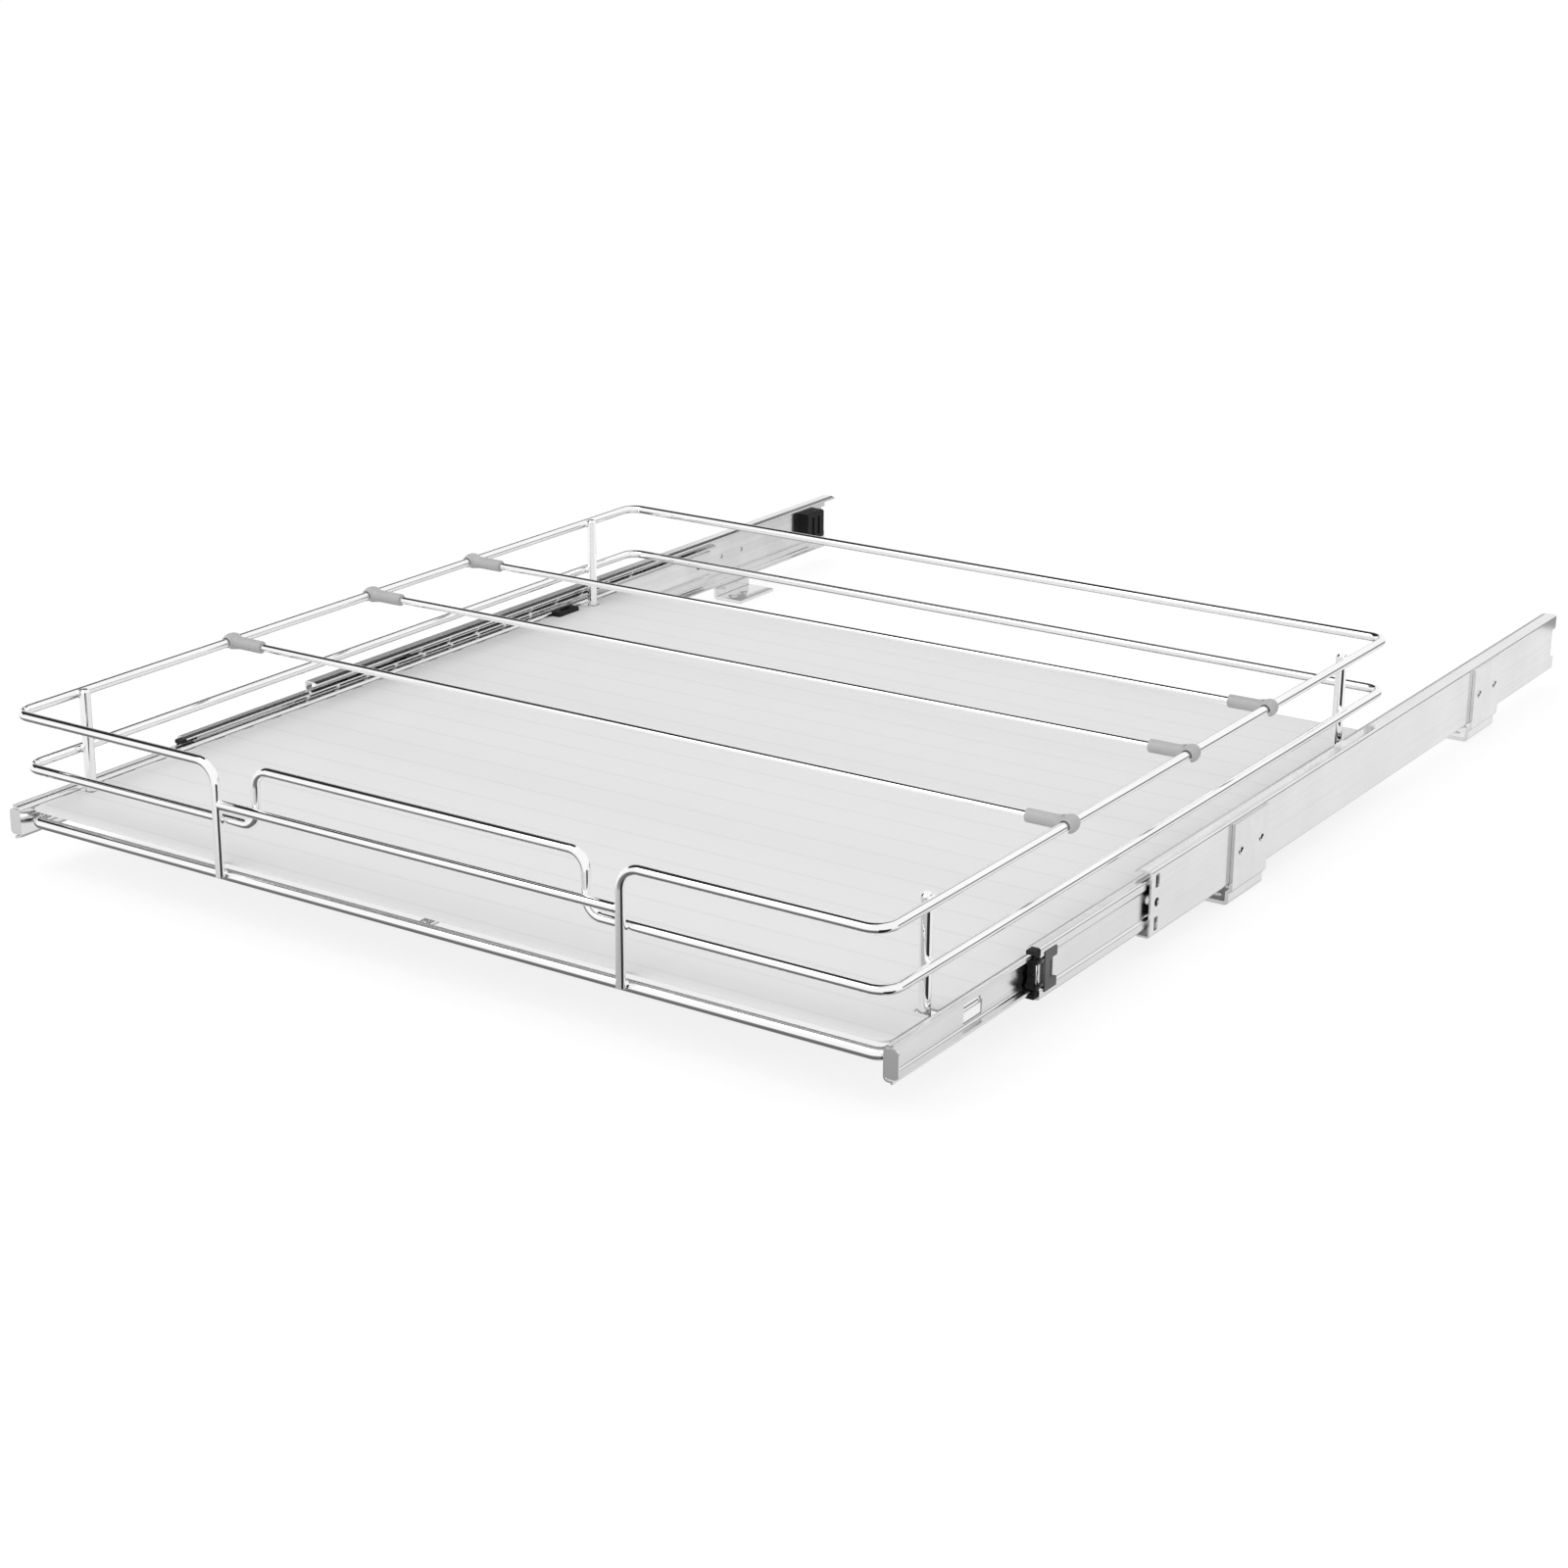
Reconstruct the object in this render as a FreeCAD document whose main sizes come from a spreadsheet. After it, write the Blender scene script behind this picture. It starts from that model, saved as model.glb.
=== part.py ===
import FreeCAD, Part
import math
import os
import Sketcher

# A pull-out pantry shelf: a wire basket carried between two three-section ball slides,
# whose feet are screwed to the cabinet floor. Millimetres, +X right, +Y into the cabinet, +Z up.
# The origin is on the floor at the centre of the four main floor screws.
# The basket is drawn part way out, as it is shown.

SIZES = {
    # ball slides
    "rail_span": 548.0,
    "rail_length": 550.0,
    "rail_height": 35.0,
    "rail_depth": 10.0,
    "rail_centre": 28.7,
    "wall": 1.0,
    "outer_ball": 3.3,
    "inner_ball": 3.3,
    "ball_play": 0.05,
    "ball_line": 2.9,
    "outer_lip": 0.8,
    "inner_lip": 0.65,
    "outer_edge": 0.4,
    "middle_edge": 0.8,
    "web_play": 0.3,
    "cage_sheet": 0.4,
    "recess": 1.0,
    "recess_half": 8.2,
    "bend_outside": 1.4,
    "lip_round": 0.6,
    "shown_pull": 229.5,
    "full_pull": 530.0,
    "middle_setback": 8.5,
    # rear stops
    "stop_length": 21.0,
    "stop_height": 20.0,
    "stop_inset": 11.5,
    "stop_play": 0.5,
    "stop_edge": 2.0,
    "stop_bevel": 1.5,
    # ball cages
    "cage_margin": 7.5,
    "outer_arm": 0.6,
    "inner_arm": 0.5,
    "outer_arm_edge": 0.5,
    "inner_arm_edge": 0.5,
    "window_play": 0.1,
    "cage_end": 12.0,
    # openings in the outer members
    "slot_setback": 6.5,
    "slot_width": 3.8,
    "slot_tall": 7.0,
    "slot_rise": 11.3,
    "front_hole": 4.6,
    "notch_depth": 5.0,
    "notch_height": 18.0,
    # front end and hook tabs of the inner members
    "end_flap": 7.8,
    "flap_height": 14.0,
    "tab_width": 9.0,
    "tab_front": 73.4,
    "tab_rear": 437.5,
    "tab_drop": 5.0,
    "tab_seat": 0.15,
    "lance_length": 16.5,
    "lance_drop": 9.2,
    # front latches
    "latch_nose": 3.0,
    "latch_bite": 9.0,
    "latch_play": 0.4,
    "latch_seat": 0.1,
    "latch_core": 2.0,
    "latch_plate": 15.0,
    "latch_plate_half": 6.8,
    "tongue_start": 4.0,
    "tongue_sheet": 0.5,
    "tongue_half": 10.0,
    "bridge_low": 5.2,
    "fork_depth": 4.2,
    "fork_half": 5.4,
    # feet
    "foot_setback": 108.5,
    "foot_spacing": 323.5,
    "foot_length": 40.0,
    "foot_reach": 24.5,
    "foot_sheet": 2.0,
    "foot_bend": 2.5,
    "joggle": 2.0,
    "joggle_top": 9.2,
    "foot_top": 44.5,
    "screw_span": 526.0,
    "screw_hole": 5.0,
    "foot_slot_width": 4.2,
    "foot_slot_length": 7.0,
    "foot_slot_ahead": 12.5,
    "rivet_pitch": 24.0,
    "rivet": 4.0,
    "rivet_fit": 0.05,
    "rivet_head": 5.2,
    "rivet_rise": 0.4,
    # wires of the basket
    "rim_wire": 5.0,
    "frame_wire": 6.0,
    "post_wire": 6.0,
    "floor_wire": 3.0,
    "bar_wire": 5.0,
    "spine_wire": 5.0,
    "weld": 0.4,
    "basket_length": 531.0,
    "basket_setback": 1.0,
    "frame_play": 0.1,
    "frame_back_inset": 3.6,
    "rim_overhang": 1.8,
    "corner_bend": 9.5,
    "frame_bend": 6.5,
    "rim_rise": 59.8,
    "mid_rise": 29.8,
    "hook_span": 247.0,
    "hook_bend": 11.0,
    "hook_foot": 0.5,
    "raised_span": 202.0,
    "raised_bend": 9.0,
    "bar_rise": 38.8,
    "post_front": 43.5,
    "post_spacing": 438.0,
    "post_above": 2.8,
    "floor_first": 13.9,
    "floor_pitch": 23.05,
    "floor_overrun": 1.5,
    # liner sheet and the clips that hold it down at the rear
    "liner_sheet": 1.2,
    "liner_lift": 0.1,
    "liner_front": 5.0,
    "liner_back": 523.0,
    "liner_side_play": 1.5,
    "liner_post_play": 0.7,
    "liner_corner": 5.0,
    "clip_front": 446.0,
    "clip_length": 21.0,
    "clip_width": 7.0,
    "clip_height": 3.8,
    "clip_play": 0.4,
    "clip_bevel": 1.2,
    # sliding dividers
    "divider_rod": 4.0,
    "divider_head": 9.3,
    "divider_head_width": 8.0,
    "divider_sleeve": 7.0,
    "sleeve_reach": 22.5,
    "socket_depth": 15.0,
    "socket_play": 0.05,
    "rim_play": 0.25,
    "snap_mouth": 4.2,
    "front_divider_at": 161.0,
    "middle_divider_at": 282.0,
    "rear_divider_at": 373.0,
    "front_divider_skew": 0.3,
    "middle_divider_skew": 1.2,
    "rear_divider_skew": 1.0,
}

FLOOR_WIRES = 23
BALLS_PER_ROW = 3
BALL_SIDES = 6
# Flats that stand for a full turn of a wire, rod or small hole, so that the many wires stay light.
FLATS = 12
SIDES = {"left": -1, "right": 1}
# How far a bend of 45 degrees moves along the far face of a sheet, per unit of thickness.
BEND_SHIFT = math.tan(math.radians(22.5))
FLAT = 1e-6

doc = FreeCAD.newDocument("PullOutShelf")
sheet = doc.addObject("Spreadsheet::Sheet", "Sizes")
for row, (name, number) in enumerate(SIZES.items(), start=1):
    sheet.set(f"A{row}", name)
    sheet.set(f"B{row}", str(number))
    sheet.setAlias(f"B{row}", name)
doc.recompute()


class Size:
    """A length that carries its number and the formula that ties it to the sheet."""

    def __init__(self, number, formula):
        self.number = number
        self.formula = formula

    def joined(self, sign, other, number):
        return Size(number, f"({self.formula} {sign} {size(other).formula})")

    def __add__(self, other):
        return self.joined("+", other, self.number + size(other).number)

    def __sub__(self, other):
        return self.joined("-", other, self.number - size(other).number)

    def __mul__(self, other):
        return self.joined("*", other, self.number * size(other).number)

    def __truediv__(self, other):
        return self.joined("/", other, self.number / size(other).number)

    def __radd__(self, other):
        return size(other) + self

    def __rsub__(self, other):
        return size(other) - self

    def __rmul__(self, other):
        return size(other) * self

    def __neg__(self):
        return size(0) - self

    def __float__(self):
        return self.number


def size(thing):
    """A plain number as a Size, and a Size as it is."""
    if isinstance(thing, Size):
        return thing
    return Size(float(thing), f"({float(thing)})")


class SizeBook:
    """Every named size in the sheet, read as book.name."""

    def __getattr__(self, name):
        return Size(float(sheet.get(name)), f"Sizes.{name}")


S = SizeBook()

# Levels through the depth of a slide, measured outwards from the inner member's web face.
OUTER_WEB = S.rail_depth - S.wall
OUTER_CAGE = OUTER_WEB - S.web_play
MIDDLE_WEB = OUTER_CAGE - S.cage_sheet - S.web_play
RECESS_WEB = MIDDLE_WEB - S.recess
INNER_CAGE = RECESS_WEB - S.wall - S.web_play
INNER_DEPTH = INNER_CAGE - S.cage_sheet - S.web_play
WEB_FACE = S.rail_span / 2 - S.rail_depth

# Half heights of the three nested members and of the two ball rows.
OUTER_HALF = S.rail_height / 2
MIDDLE_HALF = OUTER_HALF - S.wall - S.outer_ball - 2 * S.ball_play
INNER_HALF = MIDDLE_HALF - S.wall - S.inner_ball - 2 * S.ball_play
OUTER_ROW = MIDDLE_HALF + S.ball_play + S.outer_ball / 2
INNER_ROW = INNER_HALF + S.ball_play + S.inner_ball / 2

# Places along the slide, measured back from the front end of the outer member.
RAIL_FRONT = -(S.foot_setback + S.foot_spacing / 2)
STOP_FACE = S.rail_length - S.stop_inset - S.stop_length
CLOSED_END = STOP_FACE - S.stop_play
MIDDLE_FRONT = S.middle_setback - S.shown_pull / 2
INNER_FRONT = -S.shown_pull
OUTER_CAGE_CLOSED = S.full_pull / 4 + S.cage_margin
OUTER_CAGE_LENGTH = CLOSED_END - S.full_pull / 2 - 2 * S.cage_margin
INNER_CAGE_CLOSED = S.full_pull / 4 + S.middle_setback + S.latch_bite + S.cage_margin / 2
INNER_CAGE_LENGTH = CLOSED_END - S.full_pull / 4 - S.stop_play - INNER_CAGE_CLOSED

# The basket, measured back from the centreline of its front rim and from the floor.
BASKET_FRONT = RAIL_FRONT + INNER_FRONT + S.basket_setback
FRAME_HALF = WEB_FACE - S.frame_play - S.frame_wire / 2
RIM_HALF = FRAME_HALF + S.rim_overhang
POST_LINE = RIM_HALF - (S.rim_wire + S.post_wire) / 2 + S.weld
MID_FRONT = S.rim_wire - S.weld
FRAME_FRONT = (S.rim_wire + S.frame_wire) / 2 - S.weld
FRAME_BACK = S.basket_length - S.frame_back_inset
RIM_LEVEL = S.rail_centre + S.rim_rise
MID_LEVEL = S.rail_centre + S.mid_rise
FLOOR_LEVEL = S.rail_centre + (S.frame_wire + S.floor_wire) / 2 - S.weld
LINER_LEVEL = FLOOR_LEVEL + S.floor_wire / 2 + S.liner_lift

subparts = []


def bind(thing, **sizes):
    """Tie properties of an object to sizes."""
    for prop, length in sizes.items():
        thing.setExpression(prop, size(length).formula)
    return thing


def place(thing, x=0, y=0, z=0, turn=FreeCAD.Rotation()):
    """Tie an object's position to sizes."""
    thing.Placement = FreeCAD.Placement(vector(x, y, z), turn)
    thing.setExpression(".Placement.Base.x", size(x).formula)
    thing.setExpression(".Placement.Base.y", size(y).formula)
    thing.setExpression(".Placement.Base.z", size(z).formula)
    return thing


def vector(x, y, z):
    return FreeCAD.Vector(float(x), float(y), float(z))


def keep(thing, label):
    """Make an object one of the sub-parts, under its node name."""
    thing.Label = label
    subparts.append(thing)
    return thing


def new_body(label):
    return keep(doc.addObject("PartDesign::Body", label), label)


def new_sketch(body, plane, ahead=0):
    """A sketch on one of the body's own planes, moved along the plane's normal."""
    sketch = body.newObject("Sketcher::SketchObject", f"{body.Name}_sketch")
    base = [f for f in body.Origin.OriginFeatures if f.Role == plane][0]
    sketch.AttachmentSupport = [(base, "")]
    sketch.MapMode = "FlatFace"
    sketch.setExpression(".AttachmentOffset.Base.z", size(ahead).formula)
    return sketch


def tie(sketch, rules):
    """Add constraints, given as (constraint, size or None), and tie the sized ones to the sheet."""
    first = sketch.ConstraintCount
    sketch.addConstraint([rule for rule, length in rules])
    for index, (rule, length) in enumerate(rules):
        if length is not None:
            sketch.setExpression(f"Constraints[{first + index}]", size(length).formula)


def spot_rules(index, end, x, y):
    """Rules that fix a point of the sketch's geometry at x, y."""
    return [
        (Sketcher.Constraint("DistanceX", -1, 1, index, end, float(x)), x),
        (Sketcher.Constraint("DistanceY", -1, 1, index, end, float(y)), y),
    ]


def toward(one, other):
    """-1, 0 or 1 for the way from one number to another."""
    gap = float(other) - float(one)
    return 0 if abs(gap) < FLAT else int(math.copysign(1, gap))


def bearing(arm):
    return math.atan2(arm.y, arm.x)


def outline(sketch, corners):
    """Draw a closed outline through corners given as (x, y) or, where rounded, (x, y, radius).

    The two sides that meet in a rounded corner run along X and along Y.
    """
    count = len(corners)
    entries, exits = [], []
    for i, (x, y, *radius) in enumerate(corners):
        back = corners[i - 1]
        ahead = corners[(i + 1) % count]
        bend = radius[0] if radius else 0
        entries.append((x + toward(x, back[0]) * bend, y + toward(y, back[1]) * bend))
        exits.append((x + toward(x, ahead[0]) * bend, y + toward(y, ahead[1]) * bend))
    first = sketch.GeometryCount
    sketch.addGeometry([
        Part.LineSegment(vector(*exits[i], 0), vector(*entries[(i + 1) % count], 0))
        for i in range(count)
    ], False)
    rules = []
    for i, (x, y, *radius) in enumerate(corners):
        before = first + (i - 1) % count
        line = first + i
        rules += spot_rules(line, 1, *exits[i])
        if not radius:
            rules.append((Sketcher.Constraint("Coincident", before, 2, line, 1), None))
            continue
        rules += spot_rules(before, 2, *entries[i])
        start, finish = vector(*entries[i], 0), vector(*exits[i], 0)
        centre = start + finish - vector(x, y, 0)
        turns_left = (start - centre).cross(finish - centre).z > 0
        low, high = (start, finish) if turns_left else (finish, start)
        circle = Part.Circle(centre, FreeCAD.Vector(0, 0, 1), float(radius[0]))
        drawn = Part.ArcOfCircle(circle, bearing(low - centre), bearing(high - centre))
        arc = sketch.addGeometry(drawn, False)
        arc_in, arc_out = (1, 2) if turns_left else (2, 1)
        rules.append((Sketcher.Constraint("Coincident", before, 2, arc, arc_in), None))
        rules.append((Sketcher.Constraint("Coincident", arc, arc_out, line, 1), None))
        rules.append((Sketcher.Constraint("Radius", arc, float(radius[0])), radius[0]))
    tie(sketch, rules)


def box_outline(sketch, low, high, radius=None):
    """Draw a rectangle between two opposite corners."""
    tail = [] if radius is None else [radius]
    outline(sketch, [
        (low[0], low[1], *tail),
        (high[0], low[1], *tail),
        (high[0], high[1], *tail),
        (low[0], high[1], *tail),
    ])


def ring(sketch, x, y, diameter):
    """Draw a circle."""
    circle = Part.Circle(vector(x, y, 0), FreeCAD.Vector(0, 0, 1), float(diameter) / 2)
    index = sketch.addGeometry(circle, False)
    rules = spot_rules(index, 3, x, y)
    rules.append((Sketcher.Constraint("Diameter", index, float(diameter)), diameter))
    tie(sketch, rules)


def flat_ring(sketch, x, y, diameter):
    """Draw a circle as a polygon with few flats."""
    turns = [2 * math.pi * i / FLATS for i in range(FLATS)]
    outline(sketch, [
        (x + diameter / 2 * round(math.cos(turn), 9), y + diameter / 2 * round(math.sin(turn), 9))
        for turn in turns
    ])


def long_hole(sketch, x, y, length, width):
    """Draw a hole with round ends, long along X."""
    half = width / 2
    near, far = x - (length - width) / 2, x + (length - width) / 2

    def round_end(middle, start):
        circle = Part.Circle(vector(middle, y, 0), FreeCAD.Vector(0, 0, 1), float(half))
        return Part.ArcOfCircle(circle, math.radians(start), math.radians(start + 180))

    right, top, left, bottom = sketch.addGeometry([
        round_end(far, -90),
        Part.LineSegment(vector(far, y + half, 0), vector(near, y + half, 0)),
        round_end(near, 90),
        Part.LineSegment(vector(near, y - half, 0), vector(far, y - half, 0)),
    ], False)
    rules = spot_rules(top, 1, far, y + half) + spot_rules(top, 2, near, y + half)
    rules += spot_rules(bottom, 1, near, y - half) + spot_rules(bottom, 2, far, y - half)
    for before, after in ((right, top), (top, left), (left, bottom), (bottom, right)):
        rules.append((Sketcher.Constraint("Coincident", before, 2, after, 1), None))
    rules.append((Sketcher.Constraint("DistanceX", -1, 1, right, 3, float(far)), far))
    rules.append((Sketcher.Constraint("DistanceX", -1, 1, left, 3, float(near)), near))
    tie(sketch, rules)


def pad(body, sketch, length, backwards=False):
    """Thicken a sketch along its normal."""
    feature = body.newObject("PartDesign::Pad", f"{body.Name}_pad")
    feature.Profile = sketch
    feature.Reversed = backwards
    bind(feature, Length=length)
    sketch.Visibility = False
    return feature


def cut_through(body, sketch):
    """Cut a sketch right through the body, both ways from its plane."""
    feature = body.newObject("PartDesign::Pocket", f"{body.Name}_cut")
    feature.Profile = sketch
    feature.Type = "ThroughAll"
    feature.Midplane = True
    return feature


def mirrored(side, half_out, half_in):
    """Complete a slide section from its upper half: out along one face and back along the other."""
    def turned(points):
        return [(point[0], -point[1], *point[2:]) for point in reversed(points)]
    loop = half_out + turned(half_out) + turned(half_in) + half_in
    return [(side * point[0], *point[1:]) for point in loop]


def slide_body(label, side, front, loop, length):
    """A body with a constant section along the slide, set back by front from the outer member."""
    body = new_body(label)
    sketch = new_sketch(body, "XZ_Plane")
    outline(sketch, loop)
    pad(body, sketch, length, backwards=True)
    place(body, side * WEB_FACE, RAIL_FRONT + front, S.rail_centre)
    return body


def outer_member(word, side):
    """The channel that the feet hold, with its lips turned in over the outer balls."""
    tip = OUTER_HALF - S.wall - S.outer_lip
    edge = S.outer_edge
    loop = mirrored(side, [
        (edge, tip),
        (edge, OUTER_HALF, S.lip_round),
        (S.rail_depth, OUTER_HALF, S.bend_outside),
    ], [
        (OUTER_WEB, OUTER_HALF - S.wall),
        (edge + S.wall, OUTER_HALF - S.wall),
        (edge + S.wall, tip),
    ])
    body = slide_body(f"outer_member_{word}", side, 0, loop, S.rail_length)
    holes = new_sketch(body, "YZ_Plane")
    for rise in (-1, 1):
        middle = rise * S.slot_rise
        box_outline(
            holes,
            (S.slot_setback - S.slot_width / 2, middle - S.slot_tall / 2),
            (S.slot_setback + S.slot_width / 2, middle + S.slot_tall / 2),
        )
    flat_ring(holes, S.slot_setback, 0, S.front_hole)
    box_outline(
        holes,
        (S.rail_length - S.notch_depth, -S.notch_height / 2),
        (S.rail_length + S.notch_depth, S.notch_height / 2),
    )
    for foot in (0, 1):
        for end in (-1, 1):
            rivet_at = S.foot_setback + foot * S.foot_spacing + end * S.rivet_pitch / 2
            flat_ring(holes, rivet_at, 0, S.rivet)
    cut_through(body, holes)


def middle_member(word, side):
    """The member between the two ball stages, with its web drawn in between the ball tracks."""
    tip = MIDDLE_HALF - S.wall - S.inner_lip
    edge = S.middle_edge
    step = BEND_SHIFT * S.wall
    loop = mirrored(side, [
        (edge, tip),
        (edge, MIDDLE_HALF, S.lip_round),
        (MIDDLE_WEB, MIDDLE_HALF, S.bend_outside),
        (MIDDLE_WEB, S.recess_half),
        (RECESS_WEB, S.recess_half - S.recess),
    ], [
        (RECESS_WEB - S.wall, S.recess_half - S.recess + step),
        (MIDDLE_WEB - S.wall, S.recess_half + step),
        (MIDDLE_WEB - S.wall, MIDDLE_HALF - S.wall),
        (edge + S.wall, MIDDLE_HALF - S.wall),
        (edge + S.wall, tip),
    ])
    slide_body(f"middle_member_{word}", side, MIDDLE_FRONT, loop, CLOSED_END - S.middle_setback)


def inner_member(word, side):
    """The member that carries the basket on tabs lanced from its web and hooked over the frame."""
    lip = INNER_HALF + S.inner_lip
    loop = mirrored(side, [
        (INNER_DEPTH, lip),
        (INNER_DEPTH - S.wall, lip),
        (INNER_DEPTH - S.wall, INNER_HALF),
        (0, INNER_HALF, S.bend_outside),
    ], [
        (S.wall, INNER_HALF - S.wall),
        (INNER_DEPTH, INNER_HALF - S.wall),
    ])
    body = slide_body(f"inner_member_{word}", side, INNER_FRONT, loop, CLOSED_END)
    seat = S.frame_wire / 2 + S.tab_seat
    hook = S.frame_play + S.frame_wire + S.tab_seat
    windows = new_sketch(body, "YZ_Plane")
    for middle in (S.tab_front, S.tab_rear):
        start = S.basket_setback + middle - S.lance_length / 2
        box_outline(windows, (start, seat - S.lance_drop), (start + S.lance_length, seat))
    cut_through(body, windows)
    for middle in (S.tab_front, S.tab_rear):
        tab = new_sketch(body, "XZ_Plane", -(S.basket_setback + middle - S.tab_width / 2))
        outline(tab, [
            (side * S.wall, seat),
            (side * S.wall, seat + S.wall),
            (-side * hook, seat + S.wall),
            (-side * (hook + S.wall), seat),
            (-side * (hook + S.wall), seat + S.wall - S.tab_drop),
            (-side * hook, seat + S.wall - S.tab_drop),
            (-side * hook, seat),
        ])
        pad(body, tab, S.tab_width, backwards=True)
    flap = new_sketch(body, "XZ_Plane")
    box_outline(flap, (side * S.wall / 2, -S.flap_height / 2), (side * S.end_flap, S.flap_height / 2))
    pad(body, flap, S.wall, backwards=True)


def ball_cage(word, side, stage, front, length, face, arm_edge, row, arm, ball):
    """A sheet channel that spaces two rows of balls, one window for each ball."""
    loop = mirrored(side, [
        (arm_edge, row - arm / 2),
        (arm_edge, row + arm / 2),
        (face, row + arm / 2),
    ], [
        (face - S.cage_sheet, row - arm / 2),
    ])
    body = slide_body(f"{stage}_cage_{word}", side, front, loop, length)
    half = ball / 2 + S.window_play
    window = new_sketch(body, "XY_Plane")
    box_outline(
        window,
        (side * (S.ball_line - half), S.cage_end - half),
        (side * (S.ball_line + half), S.cage_end + half),
    )
    cut = cut_through(body, window)
    row_of = body.newObject("PartDesign::LinearPattern", f"{body.Name}_row")
    row_of.Originals = [cut]
    axis = [f for f in body.Origin.OriginFeatures if f.Role == "Y_Axis"][0]
    row_of.Direction = (axis, [""])
    row_of.Occurrences = BALLS_PER_ROW
    bind(row_of, Length=length - 2 * S.cage_end)
    body.Tip = row_of


def facet_ball(radius, centre):
    """A ball with few flat faces: rings of a polygon turned about Z."""
    rings = []
    for level in (-3, -1, 1, 3):
        tilt = level * math.pi / 8
        rings.append([
            centre + FreeCAD.Vector(
                radius * math.cos(tilt) * math.cos(2 * math.pi * i / BALL_SIDES),
                radius * math.cos(tilt) * math.sin(2 * math.pi * i / BALL_SIDES),
                radius * math.sin(tilt),
            )
            for i in range(BALL_SIDES)
        ])
    faces = [Part.Face(Part.makePolygon(ends + ends[:1])) for ends in (rings[0], rings[-1])]
    for low, high in zip(rings, rings[1:]):
        for i in range(BALL_SIDES):
            j = (i + 1) % BALL_SIDES
            faces.append(Part.Face(Part.makePolygon([low[i], low[j], high[j], high[i], low[i]])))
    return Part.Solid(Part.Shell(faces))


def ball_row(word, side, stage, front, length, row, ball):
    """The balls of one cage, in a row above and a row below."""
    pitch = (length - 2 * S.cage_end) / (BALLS_PER_ROW - 1)
    balls = [
        facet_ball(float(ball) / 2, vector(
            side * (WEB_FACE + S.ball_line),
            RAIL_FRONT + front + S.cage_end + i * pitch,
            S.rail_centre + rise * row,
        ))
        for rise in (-1, 1)
        for i in range(BALLS_PER_ROW)
    ]
    feature = doc.addObject("Part::Feature", f"{stage}_balls_{word}")
    feature.Shape = Part.Compound(balls)
    feature.Placement = FreeCAD.Placement()
    keep(feature, f"{stage}_balls_{word}")


def ball_stages(word, side):
    outer_front = OUTER_CAGE_CLOSED - S.shown_pull / 4
    inner_front = INNER_CAGE_CLOSED - 3 * S.shown_pull / 4
    ball_cage(word, side, "outer", outer_front, OUTER_CAGE_LENGTH, OUTER_CAGE,
              S.outer_arm_edge, OUTER_ROW, S.outer_arm, S.outer_ball)
    ball_row(word, side, "outer", outer_front, OUTER_CAGE_LENGTH, OUTER_ROW, S.outer_ball)
    ball_cage(word, side, "inner", inner_front, INNER_CAGE_LENGTH, INNER_CAGE,
              S.inner_arm_edge, INNER_ROW, S.inner_arm, S.inner_ball)
    ball_row(word, side, "inner", inner_front, INNER_CAGE_LENGTH, INNER_ROW, S.inner_ball)


def rear_stop(word, side):
    """The block inside the outer member that the two moving members close against."""
    body = new_body(f"rear_stop_{word}")
    sketch = new_sketch(body, "XZ_Plane")
    half = S.stop_height / 2
    outline(sketch, mirrored(side, [
        (S.stop_edge, half - S.stop_bevel),
        (S.stop_edge + S.stop_bevel, half),
        (OUTER_WEB, half),
    ], []))
    pad(body, sketch, S.stop_length, backwards=True)
    place(body, side * WEB_FACE, RAIL_FRONT + STOP_FACE, S.rail_centre)


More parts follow.
